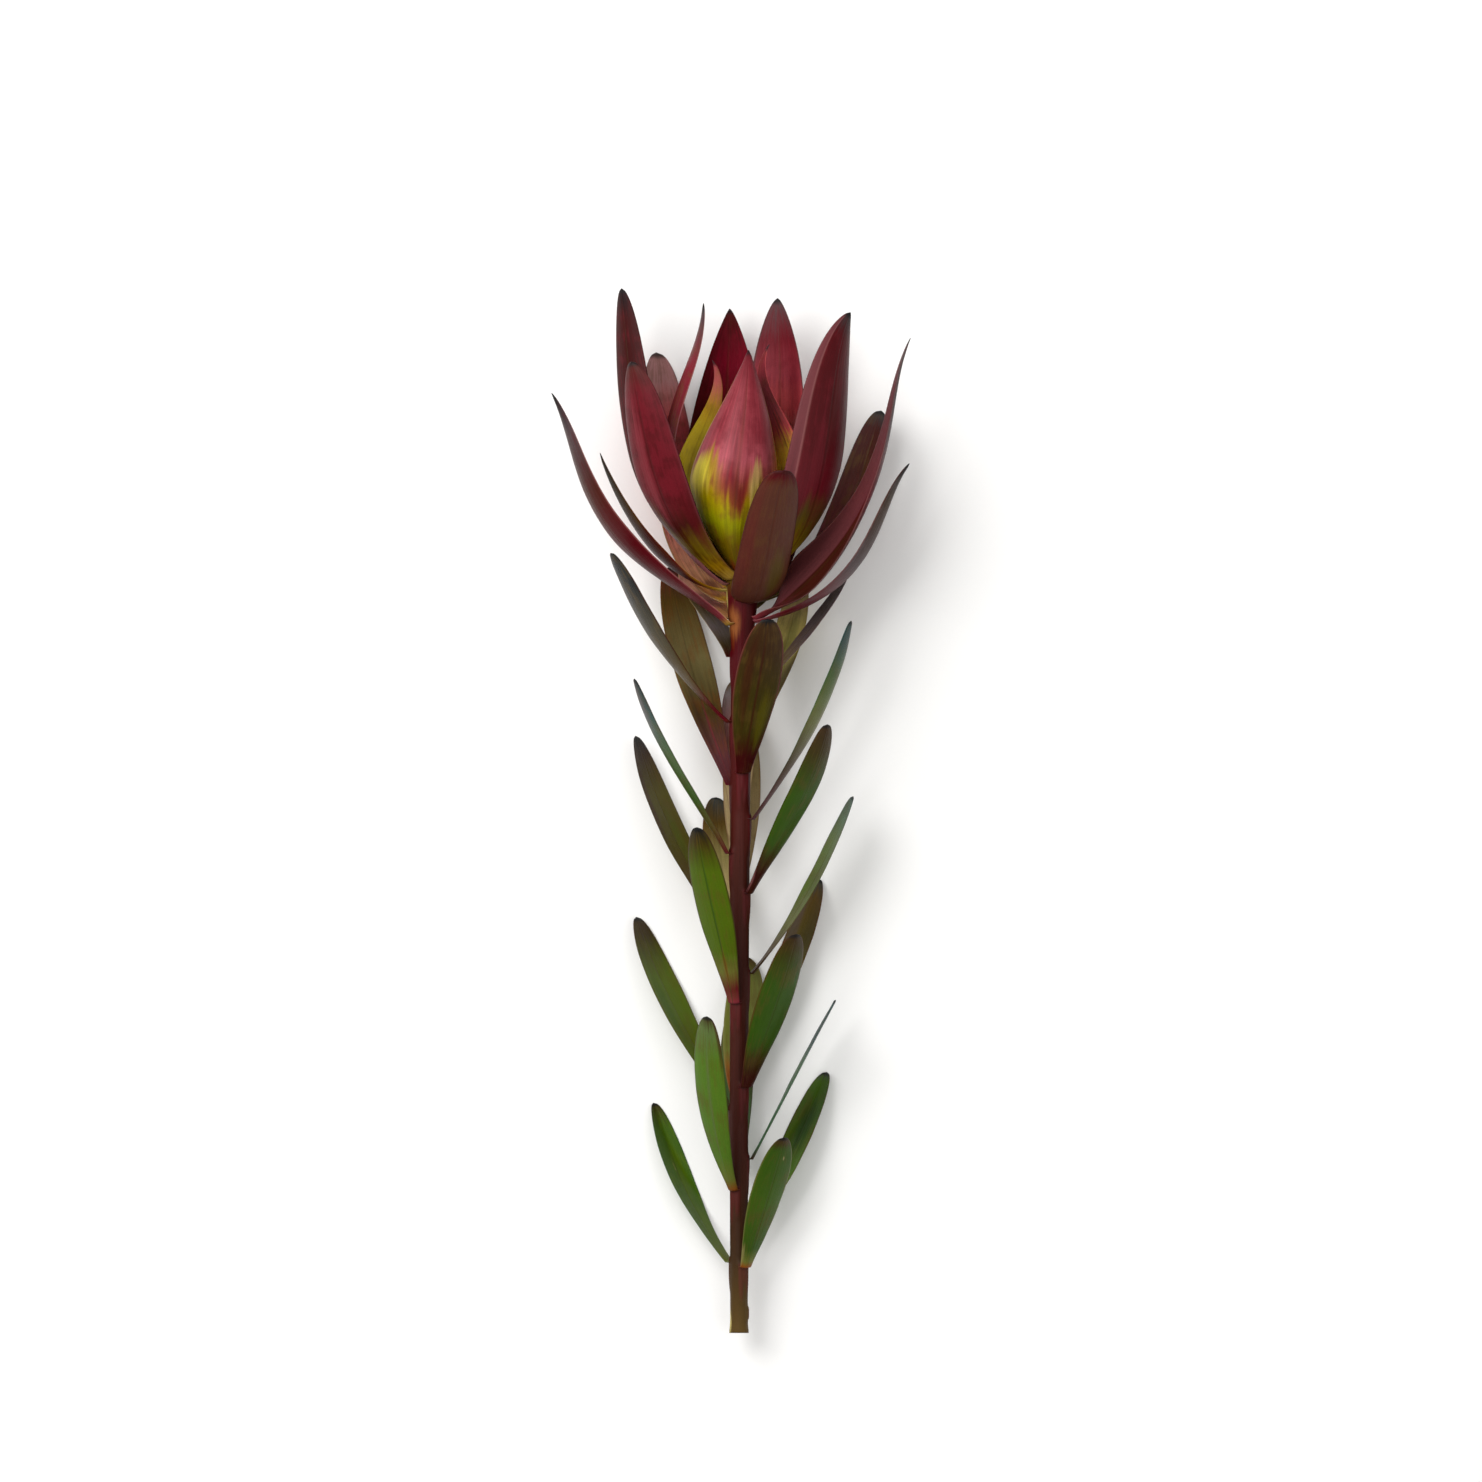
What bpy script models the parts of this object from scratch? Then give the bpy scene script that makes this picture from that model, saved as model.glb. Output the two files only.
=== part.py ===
"""A cut leucadendron stem laid on its side: woody stem, leaves, and a head of bracts round a bud.

The plant is modelled upright in its own frame and an empty then lays it down. In that frame, in
millimetres, x runs to the right, y to the back, which ends up underneath, and z up the stem from
the cut. The blades at the back meet the surface that the stem lies on, and lie flat along it.
"""

import math
from typing import NamedTuple

import bmesh
import bpy
from mathutils import Vector

MM = 0.001

# The stem
STEM_LENGTH = 268.0
STEM_RADIUS_AT_CUT = 3.05
STEM_RADIUS_BELOW_HEAD = 3.6
HEAD_START = 243.0
RECEPTACLE_RADIUS = 5.2
RECEPTACLE_HEIGHT = 262.0
RECEPTACLE_ROUNDING = 0.6
STEM_LEAN = 2.2
STEM_SIDES = 14
STEM_RINGS = 74

# The cushion of bark that each leaf stands on
CUSHION_RISE = 0.75
CUSHION_DROP = 2.2
CUSHION_LENGTH = 2.8
CUSHION_SPREAD = math.radians(26)
CUSHION_REACH = 3.0

# The closed bud in the middle of the head
BUD_FOOT = 268.5
BUD_TIP = 337.0
BUD_RADIUS = 12.6
BUD_SIDES = 16
BUD_RINGS = 16
BUD_FULLEST = 0.8
BUD_SWELL = 0.85
BUD_BOTTOM_SHARE = 0.03
BUD_TOP_SHARE = 0.985
BUD_SCALES = 5
BUD_SCALE_TWIST = 1.3
BUD_SCALE_RISE = 0.5
BUD_SCALE_FADE = 6.0

# How the stem lies: its axis is this high at the cut, and climbs by a share of its length towards the head
AXIS_HEIGHT = 12.0
AXIS_CLIMB = 0.0875
PRESS_SOFTNESS = 0.5
WELL_ABOVE = 30.0

# The blades: every one keeps the gap clear of the stem, and its turn is over at a share of its length
GAP = 0.3
BLADE_THICKNESS = 0.8
BLADE_TURN_SHARE = 0.5
BLADE_CELLS_ALONG = 11
BLADE_CELLS_ACROSS = 4
MIDRIB_STEP = 0.01
SHARP_EDGE = math.radians(50)

# The leaves below this height are green, and the ones above it bronze
BRONZE_START = 150.0


class Outline(NamedTuple):
    """How a blade's width runs from its foot to its tip."""

    foot: float
    widest: float
    swell: float
    tip_power: float
    tip_root: float


LEAF = Outline(foot=0.30, widest=0.60, swell=1.25, tip_power=2.2, tip_root=0.50)
LANCE = Outline(foot=0.42, widest=0.42, swell=1.10, tip_power=1.7, tip_root=0.90)
BROAD = Outline(foot=0.28, widest=0.48, swell=1.00, tip_power=2.2, tip_root=0.62)
TAPER = Outline(foot=0.40, widest=0.34, swell=1.00, tip_power=1.5, tip_root=1.10)
TALL = Outline(foot=0.18, widest=0.50, swell=0.90, tip_power=2.0, tip_root=0.75)
BULB = Outline(foot=0.16, widest=0.46, swell=0.80, tip_power=1.4, tip_root=1.20)
WRAP = Outline(foot=0.16, widest=0.36, swell=0.80, tip_power=1.5, tip_root=1.00)


class Blade(NamedTuple):
    """One leaf or bract: it leaves the stem at node, and path is its midrib in even steps from there."""

    name: str
    node: float
    path: tuple
    width: float
    cup: float
    turn: float
    outline: Outline


LEAVES = [
    Blade("leaf_01", 23, ((7, -10, 37.6), (11.7, -18, 53), (15.8, -25, 68.4)), 13.2, 18, 0, LEAF),
    Blade("leaf_02", 25, ((-15.7, 9, 43.3), (-23.8, 15, 61.3), (-30.2, 19, 80.5)), 13.2, 14, 4, LEAF),
    Blade("leaf_03", 35, ((13.3, 8, 52.1), (22.7, 14, 71), (31.1, 19, 91.4)), 14.6, 14, 6, LEAF),
    Blade("leaf_04", 50, ((-7.7, -14, 69.5), (-10.5, -23, 90), (-11.2, -30, 110.8)), 11, 20, 0, LEAF),
    Blade("leaf_05", 54, ((-0.4, 13, 74), (-0.1, 18.5, 96), (0, 22, 117)), 12, 12, 0, LEAF),
    Blade("leaf_06", 61, ((14.5, 0.2, 78.8), (24.2, 0.2, 97.2), (34, 0, 116.5)), 13, 7, 0, LEAF),
    Blade("leaf_07", 78, ((-15.5, 9, 100.3), (-26.7, 15, 121.8), (-36.2, 21, 145.6)), 13.8, 14, 8, LEAF),
    Blade("leaf_08", 86, ((8.2, -11, 102.5), (14.4, -19, 120.5), (20, -27, 139.6)), 15, 18, 0, LEAF),
    Blade("leaf_09", 80.5, ((0, 12, 97), (2, 19, 115), (1.8, 22.5, 131.5)), 13, 14, 0, LEAF),
    Blade("leaf_10", 96, ((11.5, 12.5, 115), (19.6, 19.5, 136), (28.2, 26, 159)), 14, 14, 0, LEAF),
    Blade("leaf_11", 115.5, ((-6, -13, 135), (-10.7, -23, 155.5), (-14.7, -32, 177)), 13.2, 18, 0, LEAF),
    Blade("leaf_12", 126, ((19.6, 3, 146), (30.6, 5, 167), (40, 6, 187.8)), 13, 14, 8, LEAF),
    Blade("leaf_13", 134, ((-4.6, 13, 153), (-7, 22, 171.5), (-8, 29, 187.5)), 12, 12, 0, LEAF),
    Blade("leaf_14", 137, ((-15.6, 9, 160), (-27, 15, 182.5), (-36.6, 21, 209)), 13.6, 14, 4, LEAF),
    Blade("leaf_15", 154, ((14.3, -10.5, 173), (23.9, -17, 192.5), (32, -22, 213)), 13, 16, -8, LEAF),
    Blade("leaf_16", 157, ((1, 13, 176), (1, 22, 196), (1, 28, 215)), 12.8, 12, 0, LEAF),
    Blade("leaf_17", 168, ((-16.8, -4, 188), (-29, -6, 208.5), (-37, -7, 229)), 11, 12, 0, LEAF),
    Blade("leaf_18", 176, ((-0.3, 11, 193), (-0.5, 21, 212), (-1.2, 29, 228.5)), 11.5, 12, 0, LEAF),
    Blade("leaf_19", 180, ((20.2, -2, 202.3), (31.6, -3, 225.2), (39.6, -3, 249.3)), 13, 14, -9, LEAF),
    Blade("leaf_20", 192, ((-11.2, 11, 216), (-18.2, 21, 241), (-25, 30, 266)), 16.2, 14, 6, LEAF),
    Blade("leaf_21", 196, ((4.2, -15, 213.5), (7.4, -27, 231.5), (10.2, -36, 249.9)), 15.5, 16, 0, LEAF),
    Blade("leaf_22", 205, ((10.6, 13, 225.5), (17.4, 22, 244.5), (21.6, 31, 266)), 13.5, 14, 0, LEAF),
    Blade("leaf_23", 214, ((-21.6, -4, 233.2), (-35.2, -7, 253.3), (-44.8, -8, 273)), 13.5, 14, -10, LEAF),
    Blade("leaf_24", 222.5, ((16.6, 4, 236.6), (27.7, 6, 250.2), (38, 8, 265.5)), 12.5, 14, 4, LEAF),
    Blade("leaf_25", 237, ((-10.2, 4, 247.3), (-19.5, 8, 257.5), (-29, 11, 269)), 14, 14, 8, LEAF),
]

BRACTS = [
    Blade("bract_low_left", 248,
          ((-23.7, -2, 264), (-43.9, -4, 281.3), (-56, -5, 304.5), (-65.8, -6, 329)),
          14, 26, -23, LANCE),
    Blade("bract_low_right", 249,
          ((31.2, -3, 259.7), (48.5, -4, 281.3), (59.6, -4, 304.4)),
          13, 24, -8, LANCE),
    Blade("bract_low_back", 250, ((-8, 15, 257.5), (-15, 27, 263), (-19.5, 36, 268)), 13, 20, 0, LANCE),
    Blade("bract_long_right", 251,
          ((28, -4, 267.8), (45.4, -4, 294.2), (53.6, -1, 322), (60.2, 2, 348.4)),
          19, 40, 22, TAPER),
    Blade("bract_under_right", 253, ((13, 18, 263), (22.5, 31, 281), (30, 41.5, 303)), 16, 24, 0, BROAD),
    Blade("bract_front", 254.5, ((6.3, -17, 262.5), (11.4, -31, 281), (16, -42, 302)), 19.2, 26, 0, BROAD),
    Blade("bract_under_left", 255, ((-9, 18, 268), (-17, 31, 288), (-25, 41, 312)), 16, 24, 0, BROAD),
    Blade("bract_back_right", 256,
          ((25.5, 16, 272.5), (40.2, 24, 297.5), (49.8, 28, 323.4)),
          15, 20, 28, BROAD),
    Blade("bract_under_middle", 258, ((1, 21, 272.5), (2, 35, 301), (3, 43, 336)), 17, 26, 0, BROAD),
    Blade("bract_narrow_left", 260, ((-23, 2, 268.8), (-38.5, 2, 286), (-48.7, 3, 308)), 10, 18, 0, LANCE),
    Blade("bract_back_left", 261, ((-18, 19, 281), (-26, 27, 311), (-29, 32, 343.2)), 24, 20, 0, LEAF),
    Blade("bract_tall_left", 262,
          ((-28, 4, 291), (-37.5, 8, 328.5), (-41.9, 9, 365.6)),
          14.5, 20, -60, BROAD),
    Blade("bract_front_left", 264,
          ((-24, -17, 286), (-32.7, -24, 313), (-37.8, -25, 340)),
          22, 34, -20, BROAD),
    Blade("bract_curled_left", 264.5,
          ((-19.5, 13.5, 285), (-24.8, 17, 308), (-19.8, 17, 333), (-12.9, 15, 360.3)),
          12, 24, -50, TALL),
    Blade("bract_broad_right", 264.5,
          ((24.8, -12, 291.5), (31.4, -16, 325.2), (39.4, -12, 357.2)),
          26, 34, -18, BROAD),
    Blade("bract_tall_right", 265,
          ((12.5, 17.5, 292.5), (15, 19, 328), (13.6, 19.5, 362.2)),
          22.5, 30, 0, TALL),
    Blade("bract_tall_back", 265, ((-6, 24.5, 293), (-6.8, 29, 328), (-3.6, 25, 358.5)), 23, 28, 0, TALL),
    Blade("bract_bud_right", 266,
          ((12.4, 3.2, 280), (16.6, 5.4, 300), (11.5, 6.5, 322), (10.6, 5, 346)),
          23, 24, 0, WRAP),
    Blade("bract_bud_left", 266,
          ((-14.5, 3, 280), (-20.2, 6, 298.5), (-14.5, 6, 317.5), (-9, 4, 340)),
          18, 40, 0, BROAD),
    Blade("bract_bud_front", 266.5,
          ((-2, -15.6, 290), (-0.8, -14.4, 316), (2.6, -3, 344)),
          47.5, 77, 0, BULB),
]


def laid_point(place):
    """A place measured to the right of the stem's foot, behind its axis and along it, as the stem lies."""
    right, behind, along = place
    return Vector((right, behind - AXIS_CLIMB * along, along))


def stem_axis(height):
    """The middle of the stem at a height: it leans a little to the right near the head."""
    return laid_point((STEM_LEAN * (height / STEM_LENGTH) ** 3, 0.0, height))


def direction_of(blade):
    """The compass direction in which a blade leaves the stem."""
    right, behind, _ = blade.path[0]
    return math.atan2(behind, right - stem_axis(blade.node).x)


def smooth_step(value):
    value = min(1.0, max(0.0, value))
    return value * value * (3.0 - 2.0 * value)


def stem_radius(angle, height):
    """The stem's radius, with the swelling under the head and the cushions under the leaves."""
    share = min(height, HEAD_START) / HEAD_START
    radius = STEM_RADIUS_AT_CUT + (STEM_RADIUS_BELOW_HEAD - STEM_RADIUS_AT_CUT) * share
    swelling = smooth_step((height - HEAD_START) / (RECEPTACLE_HEIGHT - HEAD_START))
    radius += (RECEPTACLE_RADIUS - STEM_RADIUS_BELOW_HEAD) * swelling
    for blade in LEAVES:
        along = (height - blade.node + CUSHION_DROP) / CUSHION_LENGTH
        if abs(along) < CUSHION_REACH:
            turn = math.remainder(angle - direction_of(blade), math.tau) / CUSHION_SPREAD
            radius += CUSHION_RISE * math.exp(-0.5 * (along * along + turn * turn))
    return radius


def width_share(outline, along):
    """A blade's width at a share of its length, as a share of its full width."""
    if along < outline.widest:
        rise = math.sin(0.5 * math.pi * along / outline.widest) ** outline.swell
        return outline.foot + (1.0 - outline.foot) * rise
    fall = (along - outline.widest) / (1.0 - outline.widest)
    return (1.0 - fall**outline.tip_power) ** outline.tip_root


def through(points, share):
    """The point at a share of the way along a smooth curve through even points."""
    last = len(points) - 1
    place = Vector((0.0, 0.0, 0.0))
    for i, point in enumerate(points):
        weight = math.prod((last * share - k) / (i - k) for k in range(last + 1) if k != i)
        place += weight * point
    return place


def pressed(point, clearance):
    """A point moved up off the surface underneath, softly, where it would be lower than the clearance."""
    over = (AXIS_HEIGHT - point.y - clearance) / PRESS_SOFTNESS
    if over > WELL_ABOVE:
        return point
    return point - Vector((0.0, PRESS_SOFTNESS * (math.log1p(math.exp(over)) - over), 0.0))


def midrib_of(blade):
    """The points that a blade's midrib runs through, from its foot on the stem."""
    angle = direction_of(blade)
    outward = Vector((math.cos(angle), math.sin(angle), 0.0))
    radius = stem_radius(angle, blade.node) + GAP + 0.5 * BLADE_THICKNESS
    foot = stem_axis(blade.node) + outward * radius
    return [foot] + [laid_point(place) for place in blade.path]


def middle_surface(blade):
    """Rows of points across the blade, from foot to tip, halfway through its thickness."""
    points = midrib_of(blade)
    angle = direction_of(blade)
    tangential = Vector((-math.sin(angle), math.cos(angle), 0.0))
    turn = math.radians(blade.turn) * (1.0 if tangential.y > 0 else -1.0)
    cup = math.radians(blade.cup)
    rows = []
    for i in range(BLADE_CELLS_ALONG + 1):
        along = i / BLADE_CELLS_ALONG
        ahead = through(points, along + MIDRIB_STEP) - through(points, along - MIDRIB_STEP)
        ahead.normalize()
        side = (tangential - ahead * tangential.dot(ahead)).normalized()
        inward = ahead.cross(side)
        rolled = turn * smooth_step(along / BLADE_TURN_SHARE)
        side, inward = (
            side * math.cos(rolled) + inward * math.sin(rolled),
            inward * math.cos(rolled) - side * math.sin(rolled),
        )
        half = 0.5 * max(blade.width * width_share(blade.outline, along), BLADE_THICKNESS)
        bend = half / cup
        centre = through(points, along)
        row = []
        for j in range(BLADE_CELLS_ACROSS + 1):
            across = cup * (2.0 * j / BLADE_CELLS_ACROSS - 1.0)
            point = centre + side * bend * math.sin(across) + inward * bend * (1.0 - math.cos(across))
            row.append(pressed(point, 0.5 * BLADE_THICKNESS))
        rows.append(row)
    return rows


def blade_mesh(blade):
    """The closed blade: its middle surface, thickened to both sides, with both faces split alike."""
    rows = middle_surface(blade)
    last_i, last_j = BLADE_CELLS_ALONG, BLADE_CELLS_ACROSS
    mesh = bmesh.new()
    faces = {}
    for i in range(last_i + 1):
        for j in range(last_j + 1):
            lengthwise = rows[min(i + 1, last_i)][j] - rows[max(i - 1, 0)][j]
            crosswise = rows[i][min(j + 1, last_j)] - rows[i][max(j - 1, 0)]
            normal = lengthwise.cross(crosswise).normalized()
            for side in (1, -1):
                place = rows[i][j] + normal * (0.5 * side * BLADE_THICKNESS)
                faces[side, i, j] = mesh.verts.new(place * MM)
    for i in range(last_i):
        for j in range(last_j):
            for side in (1, -1):
                ring = [(i, j), (i, j + 1), (i + 1, j + 1), (i + 1, j)]
                corners = [faces[side, a, b] for a, b in ring]
                for picked in ((0, 1, 2), (0, 2, 3)):
                    mesh.faces.new([corners[k] for k in picked[:: -side]])
    rim = [(0, j) for j in range(last_j)] + [(i, last_j) for i in range(last_i)]
    rim += [(last_i, j) for j in range(last_j, 0, -1)] + [(i, 0) for i in range(last_i, 0, -1)]
    for (i, j), (k, m) in zip(rim, rim[1:] + rim[:1]):
        mesh.faces.new([faces[1, i, j], faces[1, k, m], faces[-1, k, m], faces[-1, i, j]])
    bmesh.ops.recalc_face_normals(mesh, faces=mesh.faces)
    return mesh


def turned_mesh(rings):
    """A closed solid from rings of points, bottom to top, with a point in the middle of each end."""
    mesh = bmesh.new()
    made = [[mesh.verts.new(point * MM) for point in ring] for ring in rings]
    sides = len(rings[0])
    for lower, upper in zip(made, made[1:]):
        for k in range(sides):
            n = (k + 1) % sides
            mesh.faces.new([lower[k], lower[n], upper[n], upper[k]])
    for ring, points in ((made[0], rings[0]), (made[-1], rings[-1])):
        middle = mesh.verts.new(sum(points, Vector((0.0, 0.0, 0.0))) / sides * MM)
        for k in range(sides):
            mesh.faces.new([ring[k], ring[(k + 1) % sides], middle])
    bmesh.ops.recalc_face_normals(mesh, faces=mesh.faces)
    return mesh


def stem_mesh():
    """The stem, from its flat cut to the rounded receptacle under the bud."""
    rings = []
    for i in range(STEM_RINGS + 1):
        height = STEM_LENGTH * i / STEM_RINGS
        closing = max(0.0, (height - RECEPTACLE_HEIGHT) / (STEM_LENGTH - RECEPTACLE_HEIGHT))
        rounding = math.sqrt(1.0 - RECEPTACLE_ROUNDING * closing * closing)
        ring = []
        for k in range(STEM_SIDES):
            angle = math.tau * k / STEM_SIDES
            radius = stem_radius(angle, height) * rounding
            outward = Vector((math.cos(angle), math.sin(angle), 0.0))
            ring.append(stem_axis(height) + outward * radius)
        rings.append(ring)
    return turned_mesh(rings)


def bud_radius(share):
    """The bud's radius at a share of its height: fullest below the middle, and pointed."""
    return BUD_RADIUS * math.sin(math.pi * share**BUD_FULLEST) ** BUD_SWELL


def bud_mesh():
    """The closed bud, with the edges of its wrapped scales as low spiral ridges."""
    rings = []
    for i in range(BUD_RINGS + 1):
        share = BUD_BOTTOM_SHARE + (BUD_TOP_SHARE - BUD_BOTTOM_SHARE) * i / BUD_RINGS
        height = BUD_FOOT + (BUD_TIP - BUD_FOOT) * i / BUD_RINGS
        middle = laid_point((STEM_LEAN, 0.0, height))
        lap_depth = BUD_SCALE_RISE * min(1.0, bud_radius(share) / BUD_SCALE_FADE)
        ring = []
        for k in range(BUD_SIDES):
            angle = math.tau * k / BUD_SIDES
            lap = (BUD_SCALES * angle / math.tau + BUD_SCALE_TWIST * share) % 1.0
            outward = Vector((math.cos(angle), math.sin(angle), 0.0))
            ring.append(middle + outward * (bud_radius(share) - lap_depth * lap))
        rings.append(ring)
    return turned_mesh(rings)


def material(name, colour, roughness):
    made = bpy.data.materials.new(name)
    made.use_nodes = True
    shader = made.node_tree.nodes["Principled BSDF"]
    shader.inputs["Base Color"].default_value = (*colour, 1.0)
    shader.inputs["Roughness"].default_value = roughness
    shader.inputs["Metallic"].default_value = 0.0
    return made


def add_object(name, mesh, finish, laid):
    """One named piece, shaded smooth apart from its rim, that lies with the rest."""
    data = bpy.data.meshes.new(name)
    mesh.to_mesh(data)
    mesh.free()
    data.materials.append(finish)
    data.shade_smooth()
    data.set_sharp_from_angle(angle=SHARP_EDGE)
    piece = bpy.data.objects.new(name, data)
    piece.parent = laid
    bpy.context.scene.collection.objects.link(piece)
    return piece


def lay_down(laid, pieces):
    """Tips the upright plant onto its back, with the middle of its box's floor at the origin."""
    laid.rotation_euler = (-0.5 * math.pi, 0.0, 0.0)
    bpy.context.view_layer.update()
    points = [piece.matrix_world @ vertex.co for piece in pieces for vertex in piece.data.vertices]
    low = [min(point[k] for point in points) for k in range(3)]
    high = [max(point[k] for point in points) for k in range(3)]
    laid.location = (-0.5 * (low[0] + high[0]), -0.5 * (low[1] + high[1]), -low[2])
    bpy.context.view_layer.update()


def main():
    for old in list(bpy.data.objects):
        bpy.data.objects.remove(old)
    laid = bpy.data.objects.new("laid_down", None)
    bpy.context.scene.collection.objects.link(laid)
    bark = material("bark", (0.16, 0.035, 0.03), 0.55)
    bud_skin = material("bud_skin", (0.42, 0.16, 0.05), 0.45)
    bract_skin = material("bract_skin", (0.30, 0.04, 0.06), 0.45)
    lower_skin = material("leaf_green", (0.13, 0.20, 0.035), 0.45)
    upper_skin = material("leaf_bronze", (0.15, 0.11, 0.05), 0.45)
    pieces = [add_object("stem", stem_mesh(), bark, laid)]
    pieces.append(add_object("bud", bud_mesh(), bud_skin, laid))
    for blade in LEAVES:
        finish = lower_skin if blade.node < BRONZE_START else upper_skin
        pieces.append(add_object(blade.name, blade_mesh(blade), finish, laid))
    for blade in BRACTS:
        pieces.append(add_object(blade.name, blade_mesh(blade), bract_skin, laid))
    lay_down(laid, pieces)


main()
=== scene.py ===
"""A cut leucadendron stem lying on a pale table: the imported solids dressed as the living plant.

The plant is worked out upright, in millimetres from the middle of its cut: x to the right, y to the back,
which ends up underneath, and z up the stem. It is laid down in the row's frame as its points are placed.
"""

from __future__ import annotations

import logging
import math
from dataclasses import dataclass
from enum import Enum
from typing import Any, ClassVar, Iterable, Sequence

import bpy
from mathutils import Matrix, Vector

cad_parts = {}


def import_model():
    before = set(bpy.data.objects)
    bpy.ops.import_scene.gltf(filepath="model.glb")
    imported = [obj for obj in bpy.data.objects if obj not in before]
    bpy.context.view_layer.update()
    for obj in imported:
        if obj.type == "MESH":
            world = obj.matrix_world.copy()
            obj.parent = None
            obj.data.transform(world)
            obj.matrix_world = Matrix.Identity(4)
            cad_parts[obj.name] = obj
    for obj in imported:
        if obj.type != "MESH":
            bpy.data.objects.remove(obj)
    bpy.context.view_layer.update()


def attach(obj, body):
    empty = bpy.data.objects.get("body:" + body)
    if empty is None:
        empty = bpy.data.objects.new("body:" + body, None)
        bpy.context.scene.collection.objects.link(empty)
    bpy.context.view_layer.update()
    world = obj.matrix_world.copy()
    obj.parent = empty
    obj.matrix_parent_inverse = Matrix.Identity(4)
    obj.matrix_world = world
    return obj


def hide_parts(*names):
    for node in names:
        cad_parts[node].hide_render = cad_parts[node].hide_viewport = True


MM = 0.001
IMAGE_SIDE = 1482  # the photograph's side, in pixels
PIXEL = 0.35  # what one of its pixels covers, in millimetres
STEM_PIXEL = 739  # the column and the row of the cut
CUT_PIXEL = 1333
DAYLIGHT = 1.03  # what the lights multiply a colour by
SHEEN = 0.021  # what the gloss adds to it
GRAIN = 2600.0  # the rate of the finest grain
STREAK = 0.06  # how far streaks draw out a patch, as a rule
FIRST_BRONZE_NODE = 150  # the leaves above it are bronze
BODY = "root"
NUMBERS = "FLOAT"
VECTORS = "FLOAT_VECTOR"

Triple = tuple[float, float, float]
Span = tuple[float, float]
log = logging.getLogger("leucadendron")


class Tone(Enum):
    """The plant's colours as they look in the studio's light, with a few pale ones painted light for bracts in
    shade.
    """

    INK = "#2a2b2c"
    SLATE = "#3d4242"
    GREY_PLUM = "#554849"
    GREY_MAUVE = "#64595a"
    ASH = "#7c7271"
    PALE_ROSE = "#a06a68"
    DUSK_ROSE = "#714346"
    ROSE = "#8c3f46"
    BRIGHT_ROSE = "#a9545c"
    CRIMSON = "#672c31"
    CARMINE = "#7a1c32"
    WINE = "#54242a"
    MAROON = "#451d1e"
    BLOOD = "#521018"
    PLUM_BROWN = "#4e302c"
    CHOCOLATE = "#452a20"
    BARK = "#4a2e26"
    RUST = "#8a4a24"
    OCHRE = "#9a7428"
    HONEY = "#c09a48"
    STRAW = "#8c8054"
    SAND = "#b09a70"
    CITRON = "#8c8a18"
    GOLD_OLIVE = "#6c5a10"
    OLIVE = "#5a5426"
    DARK_OLIVE = "#453d20"
    BRONZE = "#5c4a2e"
    UMBER = "#44352a"
    KHAKI = "#6a6e38"
    MOSS = "#47601c"
    FERN = "#3f571c"
    DEEP_FERN = "#34490f"
    LEAF = "#58691f"
    FRESH = "#557230"
    GRASS = "#526528"
    SAGE = "#5d6c42"
    SEA = "#4c6c4c"
    TEAL = "#446258"
    DARK_TEAL = "#2e4644"
    WOOD = "#b8a67c"
    PITH = "#e0d6b4"
    # painted light: a rose lighter than the plant's own, for bract feet and tips that lie in shade
    BLUSH = "#b98684"
    CORAL = "#a35450"
    AMBER = "#b98c34"
    GOLD = "#a38c20"
    CREAM = "#cbbb6c"
    TAN = "#a3683e"
    # painted light: a lime lighter than the plant's own, for the bud's shaded sides
    PALE_LIME = "#e8d850"
    # painted light: a pale orange for the feet of bracts that lie in the head's shade
    APRICOT = "#dba066"
    # painted light: a pale clay for bracts that lie in the head's shade
    CLAY = "#e2b08c"
    # painted light: a bright gold for bract feet that lie in the head's shade
    GLOW_GOLD = "#ffd050"
    PUCE = "#5a3b33"
    HAZEL = "#6c5833"
    # painted light: a pale pink for bracts that lie in the head's shade
    SHELL = "#ecaaa0"
    # painted light: a bright rose for bracts that lie in the head's shade
    GLOW_ROSE = "#cc5a5c"
    TABLE = "#fbfaf8"

    def rgba(self) -> tuple[float, float, float, float]:
        """The colour in linear light, without what the lights and the sheen add to it.

        Returns:
            Its red, green, blue and opacity.
        """
        shares = [int(self.value[k : k + 2], 16) / 255 for k in (1, 3, 5)]
        linear = [s / 12.92 if s <= 0.04045 else ((s + 0.055) / 1.055) ** 2.4 for s in shares]
        red, green, blue = [max(0.0, c - SHEEN) / DAYLIGHT for c in linear]
        return red, green, blue, 1.0


T = Tone


@dataclass(frozen=True)
class Profile:
    """How a blade's width runs from its foot, through its widest place, to its tip, as shares."""

    foot: float
    widest: float
    swell: float
    tip_power: float
    tip_root: float

    def width(self, along: float) -> float:
        """The width at a share of the length.

        Args:
            along: how far from foot to tip, 0 to 1.

        Returns:
            The width as a share of the full width.
        """
        if along < self.widest:
            rise = math.sin(0.5 * math.pi * along / self.widest) ** self.swell
            return self.foot + (1.0 - self.foot) * rise
        fall = (along - self.widest) / (1.0 - self.widest)
        return max(0.0, 1.0 - fall**self.tip_power) ** self.tip_root


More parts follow.
